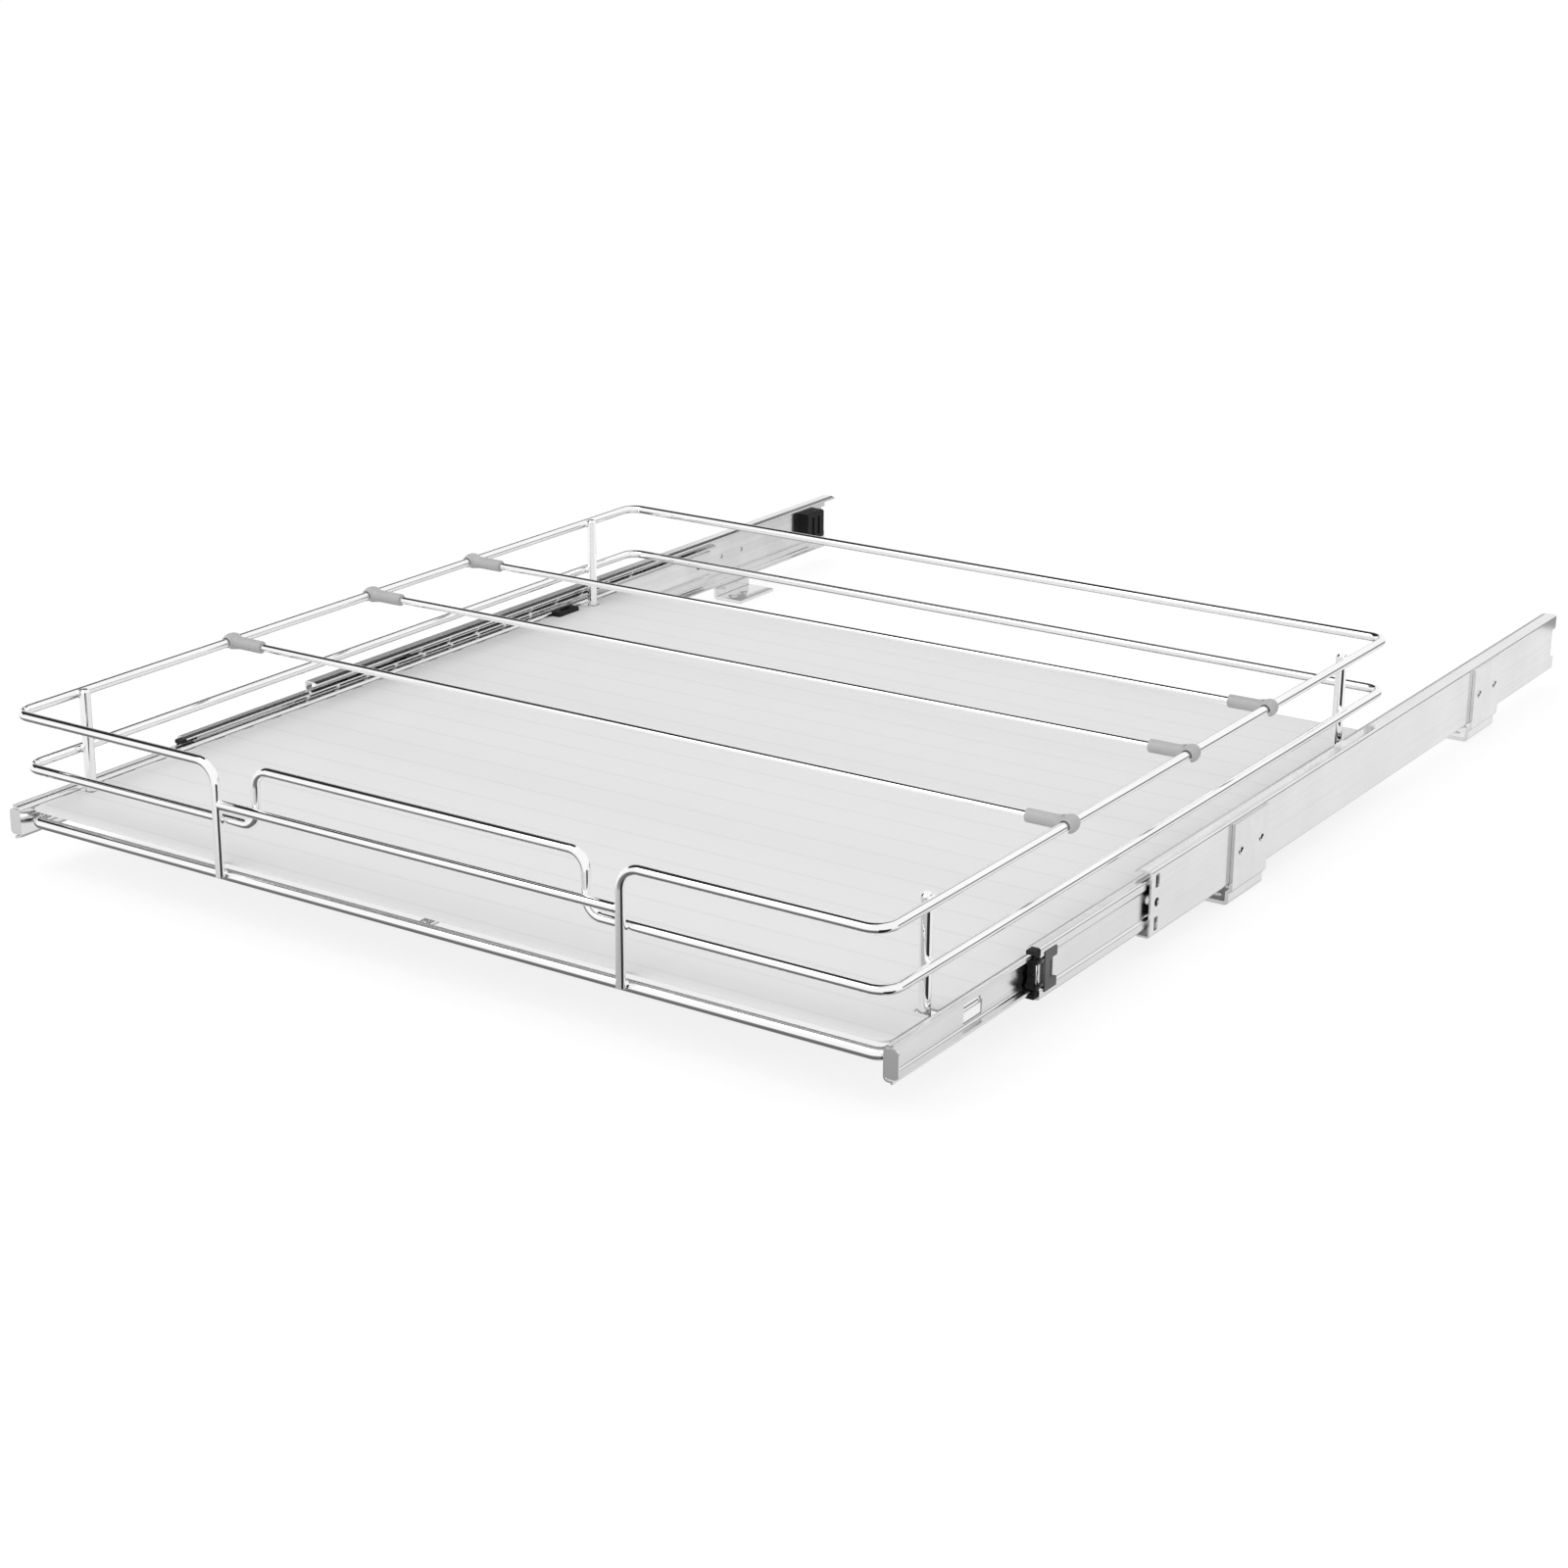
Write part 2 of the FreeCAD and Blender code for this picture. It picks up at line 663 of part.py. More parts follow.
def front_latch(word, side):
    """The latch at the front of a middle member: a block round the inner member and a forked plate."""
    body = new_body(f"front_latch_{word}")
    step = BEND_SHIFT * S.wall
    lane = INNER_HALF + S.inner_lip + S.latch_play
    core = INNER_HALF - S.wall - S.latch_play
    back = RECESS_WEB - S.wall - S.latch_seat
    deep = MIDDLE_WEB - S.wall - S.latch_seat
    edge = S.middle_edge + S.wall + S.latch_seat
    ceiling = MIDDLE_HALF - S.wall - S.latch_seat
    loop = mirrored(side, [
        (edge, lane),
        (edge, ceiling),
        (deep, ceiling),
        (deep, S.recess_half + step),
        (back, S.recess_half - S.recess + step),
    ], [
        (S.latch_core, core),
        (INNER_DEPTH + S.latch_play, core),
        (INNER_DEPTH + S.latch_play, lane),
    ])
    block = new_sketch(body, "XZ_Plane", S.latch_nose)
    outline(block, loop)
    pad(body, block, S.latch_nose + S.latch_bite, backwards=True)
    for rise in (-1, 1):
        bridge = new_sketch(body, "XZ_Plane", S.latch_nose)
        box_outline(bridge, (side * (back - S.wall), rise * S.bridge_low),
                    (side * MIDDLE_WEB, rise * core))
        pad(body, bridge, S.latch_nose - S.latch_seat, backwards=True)
    plate = new_sketch(body, "XZ_Plane", S.latch_nose)
    plate_in = RECESS_WEB + S.latch_seat
    box_outline(plate, (side * plate_in, -S.latch_plate_half), (side * MIDDLE_WEB, S.latch_plate_half))
    pad(body, plate, S.latch_nose + S.latch_plate, backwards=True)
    tongue = new_sketch(body, "XZ_Plane", -S.tongue_start)
    tongue_in = MIDDLE_WEB + S.latch_seat / 2
    outline(tongue, [
        (side * (MIDDLE_WEB - S.tongue_sheet), -S.bridge_low),
        (side * (MIDDLE_WEB - S.tongue_sheet), S.bridge_low),
        (side * tongue_in, S.bridge_low),
        (side * tongue_in, S.tongue_half),
        (side * (tongue_in + S.tongue_sheet), S.tongue_half),
        (side * (tongue_in + S.tongue_sheet), -S.tongue_half),
        (side * tongue_in, -S.tongue_half),
        (side * tongue_in, -S.bridge_low),
    ])
    pad(body, tongue, S.latch_plate - S.tongue_start, backwards=True)
    fork = new_sketch(body, "YZ_Plane")
    box_outline(fork, (S.latch_plate - S.fork_depth, -S.fork_half), (2 * S.latch_plate, S.fork_half))
    cut_through(body, fork)
    place(body, side * WEB_FACE, RAIL_FRONT + MIDDLE_FRONT, S.rail_centre)


def foot_bracket(word, side, foot, setback):
    """A bent foot: a plate on the outer member, joggled in below it, and a flange on the floor."""
    body = new_body(f"foot_{foot}_{word}")
    plate = S.rail_span / 2
    low = plate - S.joggle
    drop = S.joggle_top - S.joggle
    step = BEND_SHIFT * S.foot_sheet
    sketch = new_sketch(body, "XZ_Plane")
    outline(sketch, [
        (side * (plate + S.foot_sheet), S.foot_top),
        (side * (plate + S.foot_sheet), S.joggle_top - step),
        (side * (low + S.foot_sheet), drop - step),
        (side * (low + S.foot_sheet), 0, S.foot_bend),
        (side * (plate + S.foot_sheet - S.foot_reach), 0),
        (side * (plate + S.foot_sheet - S.foot_reach), S.foot_sheet),
        (side * low, S.foot_sheet),
        (side * low, drop),
        (side * plate, S.joggle_top),
        (side * plate, S.foot_top),
    ])
    pad(body, sketch, S.foot_length, backwards=True)
    rivets = new_sketch(body, "YZ_Plane")
    for end in (-1, 1):
        flat_ring(rivets, S.foot_length / 2 + end * S.rivet_pitch / 2, S.rail_centre, S.rivet)
    cut_through(body, rivets)
    screws = new_sketch(body, "XY_Plane")
    ring(screws, side * S.screw_span / 2, S.foot_length / 2, S.screw_hole)
    slot_at = S.foot_length / 2 - S.foot_slot_ahead
    long_hole(screws, side * S.screw_span / 2, slot_at, S.foot_slot_length, S.foot_slot_width)
    screw_cut = body.newObject("PartDesign::Pocket", f"{body.Name}_screws")
    screw_cut.Profile = screws
    screw_cut.Reversed = True
    bind(screw_cut, Length=2 * S.foot_sheet)
    place(body, 0, RAIL_FRONT + setback - S.foot_length / 2, 0)


def rivets():
    """Rivets through the feet and the outer members, with their heads outside."""
    made = []
    for side in SIDES.values():
        for foot in (0, 1):
            for end in (-1, 1):
                along = S.foot_setback + foot * S.foot_spacing + end * S.rivet_pitch / 2
                made.append(rivet(side, RAIL_FRONT + along))
    group = doc.addObject("Part::Compound", "foot_rivets")
    group.Links = made
    keep(group, "foot_rivets")


def rod(length, diameter, side=1):
    """A rod that lies along X, on the given side of its place."""
    prism = doc.addObject("Part::Prism", "Rod")
    prism.Polygon = FLATS
    turn = FreeCAD.Rotation(FreeCAD.Vector(0, 1, 0), 90 * side)
    prism.Placement = FreeCAD.Placement(FreeCAD.Vector(), turn)
    bind(prism, Height=length, Circumradius=diameter / 2)
    return prism


def rivet(side, along):
    shank = rod(S.wall + S.foot_sheet + S.rivet_rise, S.rivet - 2 * S.rivet_fit, side)
    head = rod(S.rivet_rise, S.rivet_head, side)
    head.setExpression(".Placement.Base.x", (side * (S.wall + S.foot_sheet)).formula)
    solid = doc.addObject("Part::Fuse", "Rivet")
    solid.Base = shank
    solid.Tool = head
    return place(solid, side * (WEB_FACE + OUTER_WEB), along, S.rail_centre)


def rounded_route(points, radii, closed):
    """A wire of straight runs joined by tangent arcs."""
    count = len(points)
    edges = []
    pen = points[0]
    last = count if closed else count - 1
    for i in range(1, last + 1):
        spot = points[i % count]
        radius = radii[i % count]
        if radius == 0:
            edges.append(Part.LineSegment(pen, spot).toShape())
            pen = spot
            continue
        back = (points[i - 1] - spot).normalize()
        ahead = (points[(i + 1) % count] - spot).normalize()
        half = back.getAngle(ahead) / 2
        entry = spot + back * (radius / math.tan(half))
        leave = spot + ahead * (radius / math.tan(half))
        near = spot + (back + ahead).normalize() * (radius / math.sin(half) - radius)
        edges.append(Part.LineSegment(pen, entry).toShape())
        edges.append(Part.Arc(entry, near, leave).toShape())
        pen = leave
    return Part.Wire(edges)


def bent_wire(label, route, diameter, closed):
    """Sweep a wire along a route given as (x, y, z, bend radius)."""
    points = [vector(*stop[:3]) for stop in route]
    path = doc.addObject("Part::Feature", f"{label}_route")
    path.Shape = rounded_route(points, [float(stop[3]) for stop in route], closed)
    section = doc.addObject("Part::RegularPolygon", f"{label}_section")
    section.Polygon = FLATS
    bind(section, Circumradius=diameter / 2)
    turn = FreeCAD.Rotation(FreeCAD.Vector(0, 0, 1), points[1] - points[0])
    place(section, *route[0][:3], turn=turn)
    sweep = doc.addObject("Part::Sweep", label)
    sweep.Sections = [section]
    sweep.Spine = (path, [f"Edge{i + 1}" for i in range(len(path.Shape.Edges))])
    sweep.Solid = True
    sweep.Frenet = False
    return keep(sweep, label)


def front_point(x, ahead, z, bend=0):
    return (x, BASKET_FRONT + ahead, z, bend)


def bottom_frame():
    """The heavy wire loop that the floor wires lie across and the inner members hook on to."""
    bent_wire("bottom_frame", [
        front_point(0, FRAME_BACK, S.rail_centre),
        front_point(-FRAME_HALF, FRAME_BACK, S.rail_centre, S.frame_bend),
        front_point(-FRAME_HALF, FRAME_FRONT, S.rail_centre, S.frame_bend),
        front_point(FRAME_HALF, FRAME_FRONT, S.rail_centre, S.frame_bend),
        front_point(FRAME_HALF, FRAME_BACK, S.rail_centre, S.frame_bend),
    ], S.frame_wire, True)


def top_rim():
    """The top wire, bent down at the front into two uprights that stand on the bottom frame."""
    hook = S.hook_span / 2
    foot = S.rail_centre + S.hook_foot
    half = [
        front_point(hook, 0, foot),
        front_point(hook, 0, RIM_LEVEL, S.hook_bend),
        front_point(RIM_HALF, 0, RIM_LEVEL, S.corner_bend),
        front_point(RIM_HALF, S.basket_length, RIM_LEVEL, S.corner_bend),
    ]
    other = [(-stop[0], *stop[1:]) for stop in reversed(half)]
    bent_wire("top_rim", half + other, S.rim_wire, False)


def mid_rim():
    """The lower rim wire, raised at the front between the uprights."""
    raised = S.raised_span / 2
    half = [
        front_point(RIM_HALF, S.basket_length, MID_LEVEL, S.corner_bend),
        front_point(RIM_HALF, MID_FRONT, MID_LEVEL, S.corner_bend),
        front_point(raised, MID_FRONT, MID_LEVEL, S.raised_bend),
        front_point(raised, MID_FRONT, RIM_LEVEL, S.raised_bend),
    ]
    other = [(-stop[0], *stop[1:]) for stop in reversed(half)]
    start = front_point(0, S.basket_length, MID_LEVEL)
    bent_wire("mid_rim", [start] + half + other, S.rim_wire, True)


def front_bar():
    """The straight bar between the two uprights, in front of the raised rail."""
    half = S.hook_span / 2 - S.rim_wire / 2 + S.weld
    bar = rod(2 * half, S.bar_wire)
    place(bar, -half, BASKET_FRONT, S.rail_centre + S.bar_rise, bar.Placement.Rotation)
    keep(bar, "front_bar")


def floor_wires():
    """The thin wires of the floor, side to side on top of the bottom frame."""
    wires = []
    half = FRAME_HALF + S.floor_overrun
    for i in range(FLOOR_WIRES):
        wire = rod(2 * half, S.floor_wire)
        along = BASKET_FRONT + S.floor_first + i * S.floor_pitch
        wires.append(place(wire, -half, along, FLOOR_LEVEL, wire.Placement.Rotation))
    group = doc.addObject("Part::Compound", "floor_wires")
    group.Links = wires
    keep(group, "floor_wires")


def floor_spine():
    """The bar that runs front to back under the floor wires, between the frame's two ends."""
    spine = doc.addObject("Part::Prism", "floor_spine")
    spine.Polygon = FLATS
    start = FRAME_FRONT + S.frame_wire / 2 - S.weld
    finish = FRAME_BACK - S.frame_wire / 2 + S.weld
    bind(spine, Height=finish - start, Circumradius=S.spine_wire / 2)
    turn = FreeCAD.Rotation(FreeCAD.Vector(1, 0, 0), -90)
    level = FLOOR_LEVEL - (S.floor_wire + S.spine_wire) / 2 + S.weld
    place(spine, 0, BASKET_FRONT + start, level, turn)
    keep(spine, "floor_spine")


def post(word, side, end, along):
    """A short upright inside the rims, standing on the side of the bottom frame."""
    upright = doc.addObject("Part::Prism", f"post_{end}_{word}")
    upright.Polygon = FLATS
    foot = S.rail_centre + S.frame_wire / 2 - S.weld
    bind(upright, Height=RIM_LEVEL + S.post_above - foot, Circumradius=S.post_wire / 2)
    place(upright, side * POST_LINE, BASKET_FRONT + along, foot)
    keep(upright, f"post_{end}_{word}")


def liner():
    """The stiff sheet on the floor wires, notched round the posts and the rear clips."""
    body = new_body("liner")
    half = WEB_FACE - S.liner_side_play
    post_edge = POST_LINE - S.post_wire / 2 - S.liner_post_play
    post_half = S.post_wire / 2 + S.liner_post_play
    clip_edge = WEB_FACE - S.clip_width - S.clip_play
    notches = [
        (S.post_front - post_half, S.post_front + post_half, post_edge),
        (S.clip_front - S.clip_play, S.clip_front + S.clip_length + S.clip_play, clip_edge),
        (S.post_front + S.post_spacing - post_half, S.post_front + S.post_spacing + post_half, post_edge),
    ]
    edge = [(half, S.liner_front, S.liner_corner)]
    for start, finish, depth in notches:
        edge += [
            (half, start),
            (depth, start),
            (depth, finish),
            (half, finish),
        ]
    edge.append((half, S.liner_back, S.liner_corner))
    other = [(-corner[0], *corner[1:]) for corner in reversed(edge)]
    sketch = new_sketch(body, "XY_Plane")
    outline(sketch, edge + other)
    pad(body, sketch, S.liner_sheet)
    place(body, 0, BASKET_FRONT, LINER_LEVEL)


def liner_clip(word, side):
    """A small block beside the web that holds the liner at the rear."""
    body = new_body(f"liner_clip_{word}")
    sketch = new_sketch(body, "YZ_Plane")
    outline(sketch, [
        (0, 0),
        (S.clip_length, 0),
        (S.clip_length, S.clip_height - S.clip_bevel),
        (S.clip_length - S.clip_bevel, S.clip_height),
        (S.clip_bevel, S.clip_height),
        (0, S.clip_height - S.clip_bevel),
    ])
    pad(body, sketch, S.clip_width, backwards=side > 0)
    start = side * (WEB_FACE - S.frame_play)
    place(body, start, BASKET_FRONT + S.clip_front, LINER_LEVEL)


def divider(name, along, skew):
    """A rod across the basket with a clip round the rim wire at each end."""
    cosine = math.cos(math.radians(float(skew)))
    reach = RIM_HALF / cosine
    across = BASKET_FRONT + along
    turn = FreeCAD.Rotation(FreeCAD.Vector(0, 0, 1), float(skew))
    bar = new_body(f"divider_rod_{name}")
    section = new_sketch(bar, "YZ_Plane")
    flat_ring(section, 0, 0, S.divider_rod)
    length = bar.newObject("PartDesign::Pad", f"{bar.Name}_pad")
    length.Profile = section
    length.Midplane = True
    bind(length, Length=2 * (reach - S.sleeve_reach + S.socket_depth - S.socket_play))
    place(bar, 0, across, RIM_LEVEL, turn)
    for word, side in SIDES.items():
        clip = divider_clip(f"divider_clip_{name}_{word}")
        inward = FreeCAD.Rotation(FreeCAD.Vector(0, 0, 1), float(skew) + (180 if side > 0 else 0))
        sine = math.sin(math.radians(float(skew)))
        place(clip, side * RIM_HALF, across + side * reach * sine, RIM_LEVEL, inward)


def divider_clip(label):
    """A head with a bore for the rim wire, open below to snap on, and a sleeve for the rod."""
    body = new_body(label)
    head = new_sketch(body, "XZ_Plane")
    flat_ring(head, 0, 0, S.divider_head)
    pad(body, head, S.divider_head_width).Midplane = True
    sleeve = new_sketch(body, "YZ_Plane")
    flat_ring(sleeve, 0, 0, S.divider_sleeve)
    pad(body, sleeve, S.sleeve_reach)
    bore = new_sketch(body, "XZ_Plane")
    flat_ring(bore, 0, 0, S.rim_wire + 2 * S.rim_play)
    cut_through(body, bore)
    mouth = new_sketch(body, "XZ_Plane")
    box_outline(mouth, (-S.snap_mouth / 2, -S.divider_head), (S.snap_mouth / 2, 0))
    cut_through(body, mouth)
    socket = new_sketch(body, "YZ_Plane", S.sleeve_reach)
    flat_ring(socket, 0, 0, S.divider_rod + 2 * S.socket_play)
    hole = body.newObject("PartDesign::Pocket", f"{body.Name}_socket")
    hole.Profile = socket
    bind(hole, Length=S.socket_depth)
    return body


def build():
    for word, side in SIDES.items():
        outer_member(word, side)
        middle_member(word, side)
        inner_member(word, side)
        ball_stages(word, side)
        rear_stop(word, side)
        front_latch(word, side)
        foot_bracket(word, side, "front", S.foot_setback)
        foot_bracket(word, side, "rear", S.foot_setback + S.foot_spacing)
        liner_clip(word, side)
        post(word, side, "front", S.post_front)
        post(word, side, "rear", S.post_front + S.post_spacing)
    rivets()
    bottom_frame()
    top_rim()
    mid_rim()
    front_bar()
    floor_wires()
    floor_spine()
    liner()
    divider("front", S.front_divider_at, S.front_divider_skew)
    divider("middle", S.middle_divider_at, S.middle_divider_skew)
    divider("rear", S.rear_divider_at, S.rear_divider_skew)
    doc.recompute()


def check():
    """Stop if any object failed to build."""
    for thing in doc.Objects:
        if "Invalid" in thing.State or "Error" in thing.State:
            raise RuntimeError(f"{thing.Label} did not build")
    for thing in subparts:
        if thing.Shape.isNull() or not thing.Shape.isValid():
            raise RuntimeError(f"{thing.Label} has no valid shape")
        if not thing.Shape.Solids:
            raise RuntimeError(f"{thing.Label} has no solid")


def write():
    os.makedirs("parts", exist_ok=True)
    for thing in subparts:
        shape = thing.Shape
        shape.exportStep(f"parts/{thing.Label}.step")
        box = shape.optimalBoundingBox(False, False)
        print(f"{thing.Label}: {len(shape.Solids)} solids, {shape.Volume / 1000:.2f} cm3,",
              f"x {box.XMin:.1f} to {box.XMax:.1f}, y {box.YMin:.1f} to {box.YMax:.1f},",
              f"z {box.ZMin:.1f} to {box.ZMax:.1f}")


build()
check()
write()
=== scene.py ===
import math
import bmesh
import bpy
from mathutils import Euler, Matrix, Quaternion, Vector, noise


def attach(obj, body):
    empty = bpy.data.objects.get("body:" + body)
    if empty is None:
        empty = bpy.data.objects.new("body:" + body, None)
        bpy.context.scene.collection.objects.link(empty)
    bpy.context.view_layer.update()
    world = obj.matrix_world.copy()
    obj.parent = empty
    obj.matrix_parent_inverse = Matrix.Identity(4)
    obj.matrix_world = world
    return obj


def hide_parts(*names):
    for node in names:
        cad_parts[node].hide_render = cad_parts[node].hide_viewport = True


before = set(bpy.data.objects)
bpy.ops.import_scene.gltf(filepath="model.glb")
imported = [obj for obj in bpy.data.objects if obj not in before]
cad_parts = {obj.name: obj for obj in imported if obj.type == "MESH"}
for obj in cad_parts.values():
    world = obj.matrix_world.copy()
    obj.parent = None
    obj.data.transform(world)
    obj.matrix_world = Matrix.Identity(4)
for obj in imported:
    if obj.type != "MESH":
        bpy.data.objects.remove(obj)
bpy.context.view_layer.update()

# A pull-out pantry shelf in chrome wire on zinc-plated ball slides.
# Lengths are millimetres in the tables, but metres for bump depths, the studio and the scene itself.
mm = 0.001
sides = {"left": -1, "right": 1}
places = {  # levels and lines that several pieces share
    "railFront": -270.25, "railCentre": 28.7, "webFace": 264.0,
    "basketFront": -498.75, "rimLevel": 88.5, "midLevel": 58.5, "floorLevel": 32.8, "linerLevel": 34.4,
    "frameHalf": 260.9, "rimHalf": 262.7, "postLine": 257.6, "basketBack": 32.25, "frameBack": 28.65,
}


def at(x, y, z):
    return Vector((x, y, z)) * mm


def addObject(name, data):
    made = bpy.data.objects.new(name, data)
    bpy.context.scene.collection.objects.link(made)
    return made


# camera
cameraTable = {
    "place": (889.4, -1517.35, 570.8), "azimuth": 33.646, "elevation": 19.209, "roll": 0.362,
    "lens": 69.905, "film": 36.0,
}


def makeCamera(table):
    turn, tilt, roll = (math.radians(table[k]) for k in ("azimuth", "elevation", "roll"))
    ahead = Vector((-math.sin(turn) * math.cos(tilt), math.cos(turn) * math.cos(tilt), -math.sin(tilt)))
    right = Vector((math.cos(turn), math.sin(turn), 0))
    up = right.cross(ahead)
    rightRolled = right * math.cos(roll) + up * math.sin(roll)
    upRolled = up * math.cos(roll) - right * math.sin(roll)
    axes = Matrix((rightRolled, upRolled, -ahead)).transposed()
    data = bpy.data.cameras.new("camera")
    data.lens = table["lens"]
    data.sensor_width = table["film"]
    data.sensor_fit = "HORIZONTAL"
    data.clip_end = 100
    camera = addObject("camera", data)
    camera.matrix_world = Matrix.Translation(at(*table["place"])) @ axes.to_4x4()
    bpy.context.scene.camera = camera


makeCamera(cameraTable)
bpy.context.scene.view_settings.view_transform = "Standard"
print("camera set")


# shader helpers
class Signal:  # one value in a node tree; arithmetic on it adds Math nodes
    def __init__(self, tree, socket):
        self.tree = tree
        self.socket = socket

    def __add__(self, other):
        return self.tree.math("ADD", self, other)

    def __sub__(self, other):
        return self.tree.math("SUBTRACT", self, other)

    def __rsub__(self, other):
        return self.tree.math("SUBTRACT", other, self)

    def __mul__(self, other):
        return self.tree.math("MULTIPLY", self, other)

    def __truediv__(self, other):
        return self.tree.math("DIVIDE", self, other)


class Finish:  # a node tree and the one method that adds nodes to it
    def __init__(self, tree):
        self.tree = tree
        tree.nodes.clear()

    def add(self, kind, values=None, settings=None, output=0):  # a node, as the signal of one output
        node = self.tree.nodes.new(kind)
        for name, value in (settings or {}).items():
            if name == "stops":
                fillRamp(node.color_ramp, value)
            else:
                setattr(node, name, value)
        for name, value in (values or {}).items():
            if isinstance(value, Signal):
                self.tree.links.new(value.socket, node.inputs[name])
            else:
                node.inputs[name].default_value = value
        return Signal(self, node.outputs[output]) if node.outputs else node

    def math(self, operation, first, second=0.0):
        return self.add("ShaderNodeMath", {0: first, 1: second}, {"operation": operation})

    def ramp(self, value, stops):
        return self.add("ShaderNodeValToRGB", {0: value}, {"stops": stops})

    def mixColour(self, mask, first, second):
        return self.add("ShaderNodeMix", {0: mask, 6: first, 7: second}, {"data_type": "RGBA"}, 2)

    def step(self, value, low, high):  # rises smoothly from 0 at low to 1 at high
        return self.add("ShaderNodeMapRange", {"Value": value, "From Min": low, "From Max": high},
                        {"interpolation_type": "SMOOTHSTEP"})

    def band(self, value, low, high, edge):  # 1 between low and high, with a soft edge on each side
        return self.step(value, low - edge, low) * (1 - self.step(value, high, high + edge))

    def spots(self, stretch, scale, detail=2.0, roughness=0.5):
        where = self.add("ShaderNodeTexCoord", output="Object")
        moved = self.add("ShaderNodeMapping", {"Vector": where, "Scale": stretch})
        return self.add("ShaderNodeTexNoise", {
            "Vector": moved, "Scale": scale, "Detail": detail, "Roughness": roughness})

    def bump(self, height, strength, distance):
        return self.add("ShaderNodeBump", {"Height": height, "Strength": strength, "Distance": distance})

    def surface(self, shader):
        self.add("ShaderNodeOutputMaterial", {"Surface": shader})

    def principled(self, values):
        self.surface(self.add("ShaderNodeBsdfPrincipled", values))


def fillRamp(ramp, stops):
    while len(ramp.elements) < len(stops):
        ramp.elements.new(0.5)
    for element, (spot, level) in zip(ramp.elements, stops):
        element.position = spot
        element.color = (level, level, level, 1)


def grey(level):
    return (level, level, level, 1)


def newFinish(name):
    material = bpy.data.materials.new(name)
    material.use_nodes = True
    return material, Finish(material.node_tree)


# finishes
chromeTable = {
    "bright": 0.97, "dull": 0.90, "smooth": 0.02, "hazy": 0.06,
    "patch": 18, "hazeStops": [(0.35, 0), (0.75, 1)],
    "ripple": 420, "rippleStrength": 0.05, "rippleDepth": 0.0002,
}


def makeChrome(table):
    material, f = newFinish("chromePlate")
    haze = f.ramp(f.spots((1, 1, 1), table["patch"], 4), table["hazeStops"])
    ripple = f.spots((1, 1, 1), table["ripple"], 3)
    f.principled({
        "Metallic": 1.0,
        "Base Color": f.mixColour(haze, grey(table["bright"]), grey(table["dull"])),
        "Roughness": haze * (table["hazy"] - table["smooth"]) + table["smooth"],
        "Normal": f.bump(ripple, table["rippleStrength"], table["rippleDepth"]),
    })
    return material


zincTable = {  # drawn grain along the rails, an even grain on the feet
    "bright": 0.82, "dull": 0.77, "smooth": 0.15, "hazy": 0.20,
    "streak": 500, "along": 6, "plateGrain": 160, "streakShare": 0.45, "patch": 26, "toneStops": [(0.36, 0), (0.64, 1)],
    "grainStrength": 0.2, "grainDepth": 0.00001,
}


def makeZinc(table, name, stretch):
    material, f = newFinish(name)
    streak = f.spots(stretch, 1.0, 3, 0.6)
    patch = f.spots((1, 1, 1), table["patch"], 5, 0.6)
    share = table["streakShare"]
    tone = f.ramp(streak * share + patch * (1 - share), table["toneStops"])
    f.principled({
        "Metallic": 1.0,
        "Base Color": f.mixColour(tone, grey(table["dull"]), grey(table["bright"])),
        "Roughness": table["hazy"] - tone * (table["hazy"] - table["smooth"]),
        "Normal": f.bump(streak, table["grainStrength"], table["grainDepth"]),
    })
    return material


plasticTable = {
    "black": {"colour": 0.008, "rubbed": 0.02, "rough": 0.42, "gloss": 0.18, "grain": 2600, "depth": 0.00006},
    "dark": {"colour": 0.085, "rubbed": 0.13, "rough": 0.40, "gloss": 0.35, "grain": 2600, "depth": 0.00005},
    "grey": {"colour": 0.41, "rubbed": 0.47, "rough": 0.46, "gloss": 0.5, "grain": 1900, "depth": 0.00007},
}
wearTable = {"patch": 60, "stops": [(0.42, 0), (0.72, 1)], "rougher": 0.12, "grainStrength": 0.5}


def makePlastic(name, table, wear):
    material, f = newFinish(name)
    grain = f.spots((1, 1, 1), table["grain"], 2)
    rubbed = f.ramp(f.spots((1, 1, 1), wear["patch"], 4), wear["stops"])
    f.principled({
        "Base Color": f.mixColour(rubbed, grey(table["colour"]), grey(table["rubbed"])),
        "Roughness": rubbed * wear["rougher"] + table["rough"],
        "Specular IOR Level": table["gloss"],
        "Normal": f.bump(grain, wear["grainStrength"], table["depth"]),
    })
    return material


sheetTable = {  # the frosted liner, which lets the floor wires beneath show faintly through, with a painted shade line over each floor wire
    "colour": 0.815, "line": 0.75, "wireShadeShare": 0.8, "wireShadeWidth": 1.6,
    "wireShadeStops": [(0.35, 1), (1.0, 0)], "first": -484.85, "pitch": 23.05, "cloud": 9, "cloudShare": 0.25, "cloudTone": 0.94,
    "alpha": 0.90, "rough": 0.38, "rougher": 0.14, "grain": 1400, "grainStrength": 0.35, "depth": 0.00005,
}


